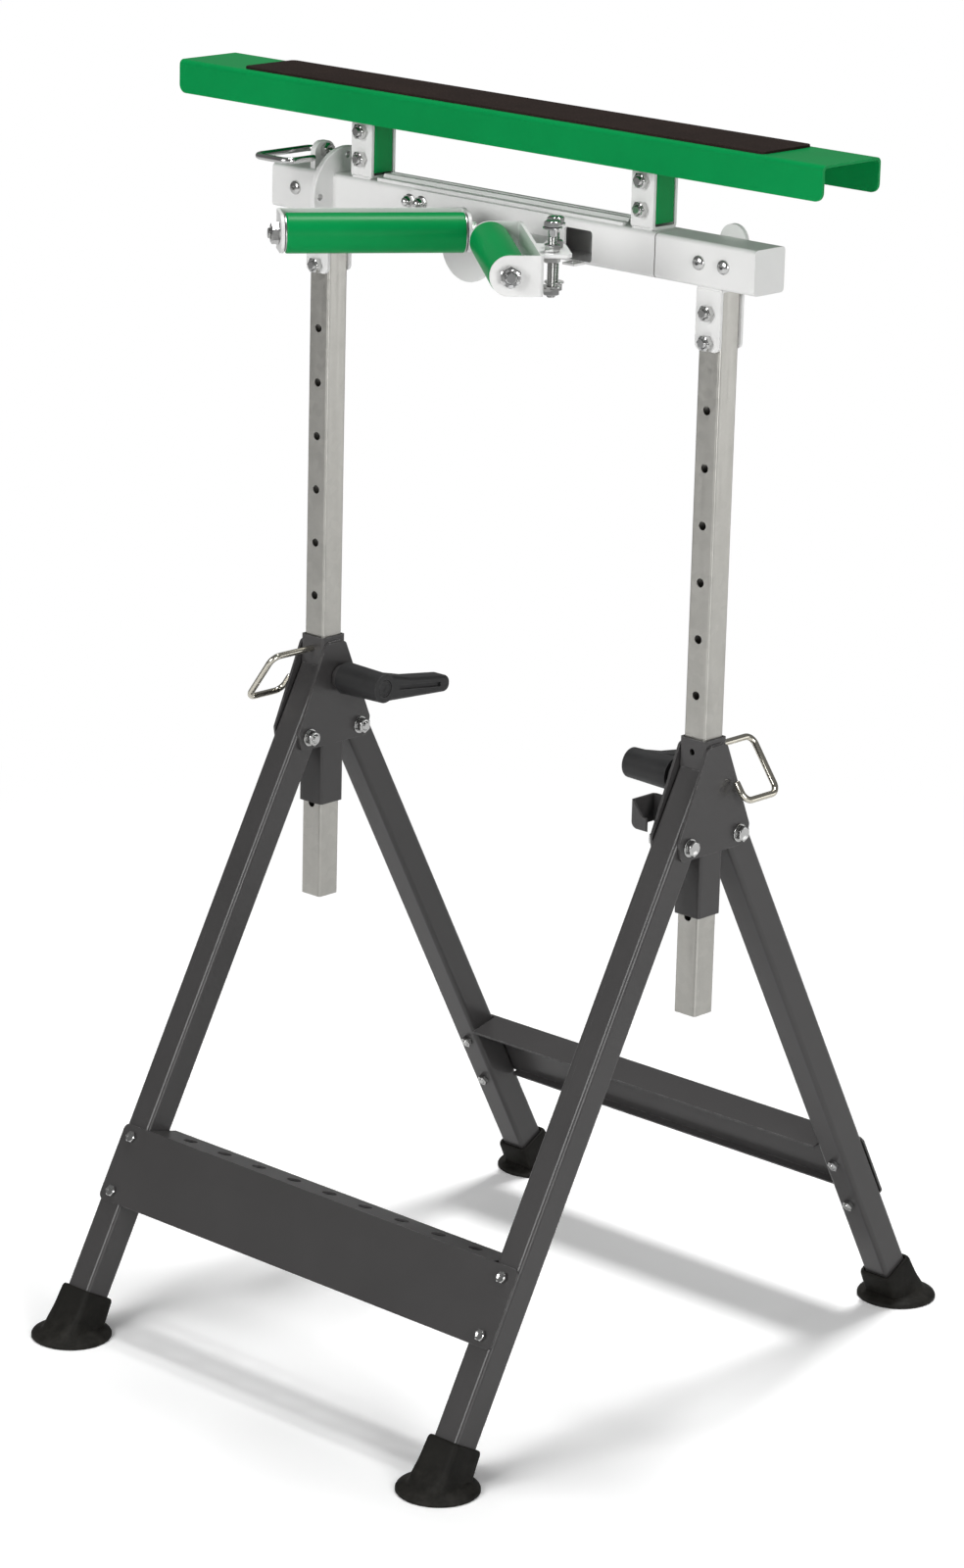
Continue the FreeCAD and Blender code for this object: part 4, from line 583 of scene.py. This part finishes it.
# Height, round limit and flats, from the hexagon's bevel through the flange to the stud's end.
CAP_ROWS = ((-4.0, 4.75, CAP_ACROSS), (-3.4, 6.0, CAP_ACROSS), (-0.3, 6.0, CAP_ACROSS), (0.0, 6.2, 0.0),
            (0.4, 6.6, 0.0), (1.5, 6.6, 0.0), (1.5, 3.0, 0.0), (7.5, 3.0, 0.0))


def cap_nut():
    """Flanged cap nut on its stud: a turned flange, a bevelled hexagon and a ball crown."""
    rows = [row(-CROWN_BASE - CROWN_RADIUS * math.cos(angle), CROWN_RADIUS * math.sin(angle))
            for angle in CROWN_STEPS]
    return ring_form(rows + [row(*values) for values in CAP_ROWS])


height = AXIS_HEIGHT + CAP_NUT_RISE
forms = [settle(cap_nut(), (x, -BLOCK_HALF - CAP_NUT_OUT, height), (0, 1, 0)) for x in CAP_NUTS]
make_piece("carrier_cap_nuts", forms, "head", "zinc_steel", ("carrier_bolts",))
forms = [settle(hex_nut(GUIDE), (INDEX_NUT_X, 0.0, INDEX_HEIGHT), (1, 0, 0))]
make_piece("index_nut", forms, "carriage", "zinc_steel", ("index_guide_nut",))


# Weld beads and the rubber strip

RIPPLE, RIPPLE_SHARE, RIPPLE_STEPS, BEAD_TIP_SHARE, BEAD_FEWEST = 2.4, 0.16, 8.0, 0.05, 12
WELD_SHARP = 60.0
SEAM_PROUD, SEAM_INSET, SEAM_SUNK = 0.2, 1.0, 0.4
# A seam's beads: how far they lie from the middle of a tube or tab, half their length, height and radius.
Seam = collections.namedtuple("Seam", "out half height radius")
SLEEVE_SEAM = Seam(out=box_of("left_sleeve")[HIGH][Y] + SEAM_PROUD, half=9.5,
                   height=box_of("left_inner_hinge_plate")[HIGH][Z], radius=1.9)
BLOCK_SEAM = Seam(out=BRACKET_FACE - SEAM_INSET, half=12.5,
                  height=box_of("left_post_bracket")[HIGH][Z] - SEAM_SUNK, radius=1.8)
BRACKET_SEAM = Seam(out=BRACKET_FACE - SEAM_INSET, half=11.5,
                    height=box_of("left_upright_bracket")[LOW][Z] + SEAM_SUNK, radius=1.8)
TAB_X = middle_of("index_tab")[X]
TAB_SEAM = Seam(out=box_of("index_tab")[HIGH][X] - TAB_X + SEAM_PROUD, half=11.5,
                height=box_of("index_tab")[LOW][Z] + SEAM_PROUD, radius=1.7)
CATCH_INSET, CATCH_TOP, CATCH_LENGTH, CATCH_BEAD = 0.5, 2.0, 22.0, 1.8


def bead_form(start, end, radius):
    """Weld bead: circles along a straight seam that swell once per ripple and close at both ends."""
    start, end = np.array(start, float), np.array(end, float)
    length = float(np.linalg.norm(end - start))
    share = np.linspace(0.0, 1.0, max(BEAD_FEWEST, int(length / RIPPLE * RIPPLE_STEPS)))
    taper = np.clip(np.minimum(share, 1.0 - share) * length / radius, BEAD_TIP_SHARE, 1.0) ** 0.5
    swell = 1.0 + RIPPLE_SHARE * np.abs(np.sin(math.pi * share * length / RIPPLE))
    rows = [row(share_now * length, radius * size) for share_now, size in zip(share, taper * swell)]
    return settle(ring_form(rows), start, (end - start) / length)


def beads_fore_and_aft(x, seam):
    """Two beads along y, one on each side of x."""
    out, half, height, radius = seam
    return [bead_form((x + out * way, -half, height), (x + out * way, half, height), radius)
            for way in (-1.0, 1.0)]


def beads_across(x, seam):
    """Two beads along x, one in front and one behind."""
    out, half, height, radius = seam
    return [bead_form((x - half, out * way, height), (x + half, out * way, height), radius)
            for way in (-1.0, 1.0)]


forms = [form for post_x in POSTS.values() for form in beads_fore_and_aft(post_x, SLEEVE_SEAM)]
top = box_of("catch_bracket")[HIGH] - (CATCH_INSET, 0.0, CATCH_TOP)
forms.append(bead_form(top - (0.0, 0.0, CATCH_LENGTH), top, CATCH_BEAD))
make_piece("sleeve_welds", forms, "base", "dark_paint", sharp=WELD_SHARP)
forms = [form for post_x in POSTS.values() for form in beads_across(post_x, BLOCK_SEAM)]
forms += beads_fore_and_aft(TAB_X, TAB_SEAM)
make_piece("block_welds", forms, "carriage", "white_paint", sharp=WELD_SHARP)
forms = [form for x in UPRIGHTS.values() for form in beads_across(x, BRACKET_SEAM)]
make_piece("bracket_welds", forms, "head", "white_paint", sharp=WELD_SHARP)

STRIP_CORNER, STRIP_SOFT, STRIP_SHARP = 6.0, 0.8, 50.0
CORNER_STEPS, RIM_STEPS = 8, 5


def strip_form(low, high, corner, soft):
    """Rubber strip: rounded rectangles stacked in z, drawn in by a quarter circle at the top rim."""
    centre, half = (low + high) / 2.0, (high - low) / 2.0
    signs = np.array([(1, 1), (-1, 1), (-1, -1), (1, -1)], float)
    quarter = np.linspace(0.0, QUARTER_TURN, CORNER_STEPS)
    turn = quarter[None, :] + QUARTER_TURN * np.arange(len(signs))[:, None]
    round_off = np.stack([np.cos(turn), np.sin(turn)], axis=-1)
    draw = np.linspace(0.0, QUARTER_TURN, RIM_STEPS)
    levels = [(0.0, low[2])] + list(zip(soft * (1.0 - np.cos(draw)), high[2] - soft + soft * np.sin(draw)))
    rings = []
    for inset, height in levels:
        flat = centre[:2] + signs[:, None, :] * (half[:2] - corner) + round_off * (corner - inset)
        rings.append(np.concatenate([flat.reshape(-1, 2), np.full((flat.size // 2, 1), height)], axis=1))
    return np.concatenate(rings), ring_faces(len(rings), len(rings[0]), False)


strip = strip_form(*box_of("channel_pad"), STRIP_CORNER, STRIP_SOFT)
make_piece("pad_strip", [strip], "head", "black_rubber", ("channel_pad",), PAD_RUBBER, STRIP_SHARP)


# Rubber boots, the hem of the tool shelf and the lever caps

FOOT_REACH = PIVOT_OUT + PIVOT_HEIGHT * math.tan(math.radians(LEG_TILT))
BOOT_SHARP = 40.0
# Along the leg, half size, squareness, share of the leg's lean: up from the floor, down into the socket.
BOOT_ROWS = ((0.0, 35.0, 2.0, 0.0), (0.0, 37.2, 2.0, 0.0), (0.8, 38.0, 2.0, 0.0), (2.6, 38.0, 2.0, 0.0),
             (4.0, 37.2, 2.0, 0.0), (5.4, 34.0, 2.0, 0.0), (6.6, 30.0, 2.05, 0.0), (7.6, 26.5, 2.3, 0.02),
             (8.8, 23.6, 3.2, 0.12), (10.4, 21.4, 5.0, 0.42), (13.0, 20.3, 8.0, 0.80),
             (17.0, 19.8, 10.0, 0.97), (23.0, 19.4, 10.0, 1.0), (41.0, 18.7, 10.0, 1.0),
             (43.2, 18.3, 9.0, 1.0), (44.2, 17.5, 9.0, 1.0), (44.4, 16.6, 9.0, 1.0),
             (44.0, 15.5, 12.0, 1.0), (30.0, 15.4, 12.0, 1.0), (19.6, 15.4, 12.0, 1.0))


def boot_form(way):
    """Boot: rings from a round disc on the floor to a square collar leaning with the leg. Each is a
    superellipse: half size over the root of the sum of the powers of cosine and sine, all of one degree."""
    along, half, square, lean = np.array(BOOT_ROWS).T[:, :, None]
    turn = np.linspace(0.0, FULL_TURN, BOOT_RING, endpoint=False)[None, :]
    reach = half / (np.abs(np.cos(turn)) ** square + np.abs(np.sin(turn)) ** square) ** (1.0 / square)
    across, out = reach * np.cos(turn), reach * np.sin(turn)
    tilt = math.radians(LEG_TILT) * lean
    centre_y = along * math.sin(math.radians(LEG_TILT)) * way * lean
    centre_z = along * np.cos(tilt)
    points = np.stack([across, centre_y + out * np.cos(tilt), centre_z - out * np.sin(tilt) * way], axis=-1)
    return points.reshape(-1, 3), ring_faces(len(BOOT_ROWS), BOOT_RING, False)


for end, way in ENDS.items():
    for side, post_x in POSTS.items():
        points, faces = boot_form(way)
        form = (points + np.array((post_x, -FOOT_REACH * way, 0.0)), faces)
        node = f"{side}_{end}_foot"
        make_piece(f"{side}_{end}_boot", [form], f"{end}_legs", "black_rubber", (node,), sharp=BOOT_SHARP)


def folded_form(profile, start, end):
    """A profile in y and z carried straight along x, with flat ends."""
    profile = np.array(profile, float)
    points = np.concatenate([np.insert(profile, 0, x, axis=1) for x in (start, end)])
    return points, ring_faces(2, len(profile), False)


SHELF_RISE, SHELF_DEPTH, SHEET, RAIL_TOP = math.radians(14.8), 36.0, 2.0, 402.99
HEM_DROP, HEM_SETBACK, HEM_CLEAR = 9.0, 0.02, 3.5
HEM_START = box_of("left_front_leg")[HIGH][X] + HEM_CLEAR
HEM_END = box_of("right_front_leg")[LOW][X] - HEM_CLEAR
along = np.array((math.cos(SHELF_RISE), math.sin(SHELF_RISE)))
under = np.array((math.sin(SHELF_RISE), -math.cos(SHELF_RISE)))
tip = np.array((-RAIL_FACE, -RAIL_TOP)) + along * SHELF_DEPTH + under * SHEET
inner, outer = tip - along * SHEET, tip - along * HEM_SETBACK
fold = [inner + under * HEM_DROP, outer + under * HEM_DROP, outer, inner]
hem = turned_about([folded_form(fold, HEM_START, HEM_END)], "X", -LEG_TILT, (0.0, -PIVOT_OUT, PIVOT_HEIGHT))
make_piece("tool_shelf_hem", hem, "front_legs", "dark_paint")

# Out along the lever's hub and radius: a shallow cap with a raised rim.
LEVER_CAP_ROWS = ((49.7, 8.0), (49.7, 8.35), (51.3, 8.35), (51.7, 7.9),
                  (51.7, 6.9), (51.2, 6.5), (51.2, 2.0), (50.9, 1.4))
for side, way in INWARD.items():
    hub_end = box_of(f"{side}_clamp_lever")[LOW if way > 0.0 else HIGH][X]
    spot = (hub_end, *anchor_of(f"{side}_lever_turn")[Y:])
    cap = ring_form([row(*values) for values in LEVER_CAP_ROWS])
    make_piece(f"{side}_lever_cap", [settle(cap, spot, (way, 0, 0))], f"{side}_lever", "black_plastic")


# Wire pins

WIRE_RADIUS, WIRE_RING, BEND_STEPS, TIP_STEPS, TIP_LENGTH, TIP_DRAW = 3.0, 24, 14, 6, 1.5, 0.75
WIRE_BEND, INDEX_BEND, WIRE_SHARP = 9.0, 5.0, 60.0
LOCK_HEIGHT, LOCK_LEAN = 616.0, 36.0
LOCK_TIP, LOCK_OUT, LOCK_BACK, LOCK_DROP, LOCK_END = 13.0, 67.0, 22.0, 57.0, 37.0
INDEX_TIP_X, INDEX_CORNER_X, INDEX_BACK_X, INDEX_OUT, INDEX_END = -210.5, -254.0, -210.0, 72.0, 38.0


def unit(vector):
    """A vector of length one along a vector."""
    return vector / np.linalg.norm(vector)


def bent_path(corners, bends):
    """Points of a wire's middle line: straight runs joined by quarter turns of the stated radii."""
    corners = np.array(corners, float)
    turn = np.linspace(0.0, QUARTER_TURN, BEND_STEPS)[:, None]
    line = [corners[:1]]
    for before, corner, after, radius in zip(corners[:-2], corners[1:-1], corners[2:], bends):
        back, on = unit(before - corner), unit(after - corner)
        line.append(corner + (back + on) * radius - on * radius * np.cos(turn) - back * radius * np.sin(turn))
    return np.concatenate(line + [corners[-1:]])


def wire_form(corners, bends, across):
    """Round wire: circles square to a flat bent path, drawn in at both tips; across is the path's normal."""
    path = bent_path(corners, bends)
    share = np.linspace(0.0, 1.0, TIP_STEPS)[:, None]
    nose = path[0] + unit(path[1] - path[0]) * TIP_LENGTH * share
    tail = path[-1] + unit(path[-2] - path[-1]) * TIP_LENGTH * share[::-1]
    swell = np.sqrt(1.0 - TIP_DRAW * (1.0 - share[:, 0]) ** 2)
    points = np.concatenate([nose, path[1:-1], tail])
    reach = np.concatenate([swell, np.ones(len(path) - 2), swell[::-1]])[:, None, None] * WIRE_RADIUS
    ahead = np.gradient(points, axis=0)
    ahead = ahead / np.linalg.norm(ahead, axis=1)[:, None]
    side = np.array(across, float)
    out = np.cross(ahead, side)[:, None, :]
    turn = np.linspace(0.0, FULL_TURN, WIRE_RING, endpoint=False)[None, :, None]
    rings = points[:, None, :] + reach * (np.cos(turn) * side + np.sin(turn) * out)
    return rings.reshape(-1, 3), ring_faces(len(points), WIRE_RING, False)


for side, post_x in POSTS.items():
    out = -INWARD[side]
    corners = [(0, LOCK_TIP * out, 0), (0, LOCK_OUT * out, 0), (0, LOCK_OUT * out, -LOCK_DROP),
               (0, LOCK_BACK * out, -LOCK_DROP), (0, LOCK_BACK * out, -LOCK_END)]
    form = wire_form(corners, (WIRE_BEND,) * 3, (1, 0, 0))
    forms = turned_about([form], "Y", -LOCK_LEAN * out, (post_x, 0.0, LOCK_HEIGHT))
    node = f"{side}_lock_pin"
    make_piece(f"{side}_wire_pin", forms, f"{side}_pin", "plated_wire", (node,), sharp=WIRE_SHARP)
corners = [(INDEX_TIP_X, 0), (INDEX_CORNER_X, 0), (INDEX_CORNER_X, -INDEX_OUT), (INDEX_BACK_X, -INDEX_OUT),
           (INDEX_BACK_X, -INDEX_END)]
corners = [(x, y, INDEX_HEIGHT) for x, y in corners]
form = wire_form(corners, (INDEX_BEND, WIRE_BEND, WIRE_BEND), (0, 0, 1))
make_piece("index_wire_pin", [form], "index_pin", "plated_wire", ("index_pin",), BRIGHT_WIRE, WIRE_SHARP)


# Floor, light and camera

FLOOR_REACH, FLOOR_NEAR, FLOOR_FAR = 14.0, 0.55, 1.9
FLOOR_SEEN, FLOOR_LIT, SKY_LIGHT = (1.15, 1.15, 1.15), (0.75, 0.75, 0.75), 0.17


def seen_directly(tree):
    """One for camera and transmission rays and nought for the rest, then the same for camera rays alone."""
    path = tree.nodes.new("ShaderNodeLightPath")
    camera_ray = path.outputs["Is Camera Ray"]
    return math_node(tree, "MAXIMUM", camera_ray, path.outputs["Is Transmission Ray"]), camera_ray


def stage_floor():
    """A square floor that takes shadows near the stand and is plain white to the camera away from it."""
    corners = np.array([(-1, -1, 0), (1, -1, 0), (1, 1, 0), (-1, 1, 0)], float) * FLOOR_REACH
    mesh = bpy.data.meshes.new("floor")
    mesh.from_pydata(corners.tolist(), [], [(0, 1, 2, 3)])
    floor = bpy.data.objects.new("floor", mesh)
    bpy.context.collection.objects.link(floor)
    material = bpy.data.materials.new("pale_floor")
    material.use_nodes = True
    tree = material.node_tree
    tree.nodes.clear()
    far = add(tree, "ShaderNodeVectorMath", {"operation": "LENGTH"}, i0=object_place(tree)).outputs["Value"]
    seen, camera_ray = seen_directly(tree)
    tone = blend(tree, camera_ray, opaque(FLOOR_LIT), opaque(FLOOR_SEEN))
    plain = add(tree, "ShaderNodeBsdfDiffuse", Color=tone).outputs[0]
    white = add(tree, "ShaderNodeEmission", Color=WHITE, Strength=1.0).outputs[0]
    fade = math_node(tree, "MULTIPLY", span(tree, far, low=FLOOR_NEAR, high=FLOOR_FAR), seen)
    mix = add(tree, "ShaderNodeMixShader", i0=fade, i1=plain, i2=white)
    output = tree.nodes.new("ShaderNodeOutputMaterial")
    tree.links.new(mix.outputs[0], output.inputs[0])
    mesh.materials.append(material)


def sky():
    """White where the camera looks, softer where it only lights."""
    world = bpy.data.worlds.new("studio")
    bpy.context.scene.world = world
    world.use_nodes = True
    tree = world.node_tree
    tree.nodes.clear()
    strength = span(tree, seen_directly(tree)[0], low=0.0, high=1.0, start=SKY_LIGHT, end=1.0)
    light = add(tree, "ShaderNodeBackground", Color=WHITE, Strength=strength)
    output = tree.nodes.new("ShaderNodeOutputWorld")
    tree.links.new(light.outputs[0], output.inputs[0])


def lamp(name, spot, target, side, power):
    """A square soft box at a spot, facing a target."""
    data = bpy.data.lights.new(name, "AREA")
    data.shape = "SQUARE"
    data.size = side
    data.energy = power
    made = bpy.data.objects.new(name, data)
    made.location = spot
    made.rotation_euler = (Vector(target) - Vector(spot)).to_track_quat("-Z", "Y").to_euler()
    bpy.context.collection.objects.link(made)


def camera():
    """The fitted pinhole camera: it looks along the view direction, rolled a little, from its distance."""
    level = math.cos(ELEVATION)
    back = Vector((math.sin(AZIMUTH) * level, -math.cos(AZIMUTH) * level, math.sin(ELEVATION)))
    right = Vector((math.cos(AZIMUTH), math.sin(AZIMUTH), 0.0))
    up = back.cross(right)
    rolled_right = right * math.cos(ROLL) + up * math.sin(ROLL)
    rolled_up = up * math.cos(ROLL) - right * math.sin(ROLL)
    centre = AIM - rolled_right * SHIFT_RIGHT - rolled_up * SHIFT_UP + back * DISTANCE
    data = bpy.data.cameras.new("photo_view")
    data.lens = LENS
    data.sensor_width = SENSOR
    data.sensor_fit = "AUTO"
    made = bpy.data.objects.new("photo_view", data)
    bpy.context.collection.objects.link(made)
    made.matrix_world = Matrix((
        (rolled_right.x, rolled_up.x, back.x, centre.x),
        (rolled_right.y, rolled_up.y, back.y, centre.y),
        (rolled_right.z, rolled_up.z, back.z, centre.z),
        (0.0, 0.0, 0.0, 1.0)))
    bpy.context.scene.camera = made


stage_floor()
sky()
lamp("overhead_box", spot=(-0.4, 1.5, 7.0), target=(0.0, 0.0, 0.0), side=1.5, power=300.0)
lamp("right_box", spot=(3.1, -1.0, 1.3), target=(0.0, 0.0, 0.75), side=1.3, power=42.0)
lamp("front_box", spot=(-0.2, -3.3, 2.0), target=(0.0, 0.0, 0.75), side=1.6, power=70.0)
lamp("back_box", spot=(2.5, 2.4, 0.5), target=(0.0, 0.0, 0.6), side=1.4, power=8.0)
camera()

bpy.context.scene.view_settings.view_transform = "Standard"
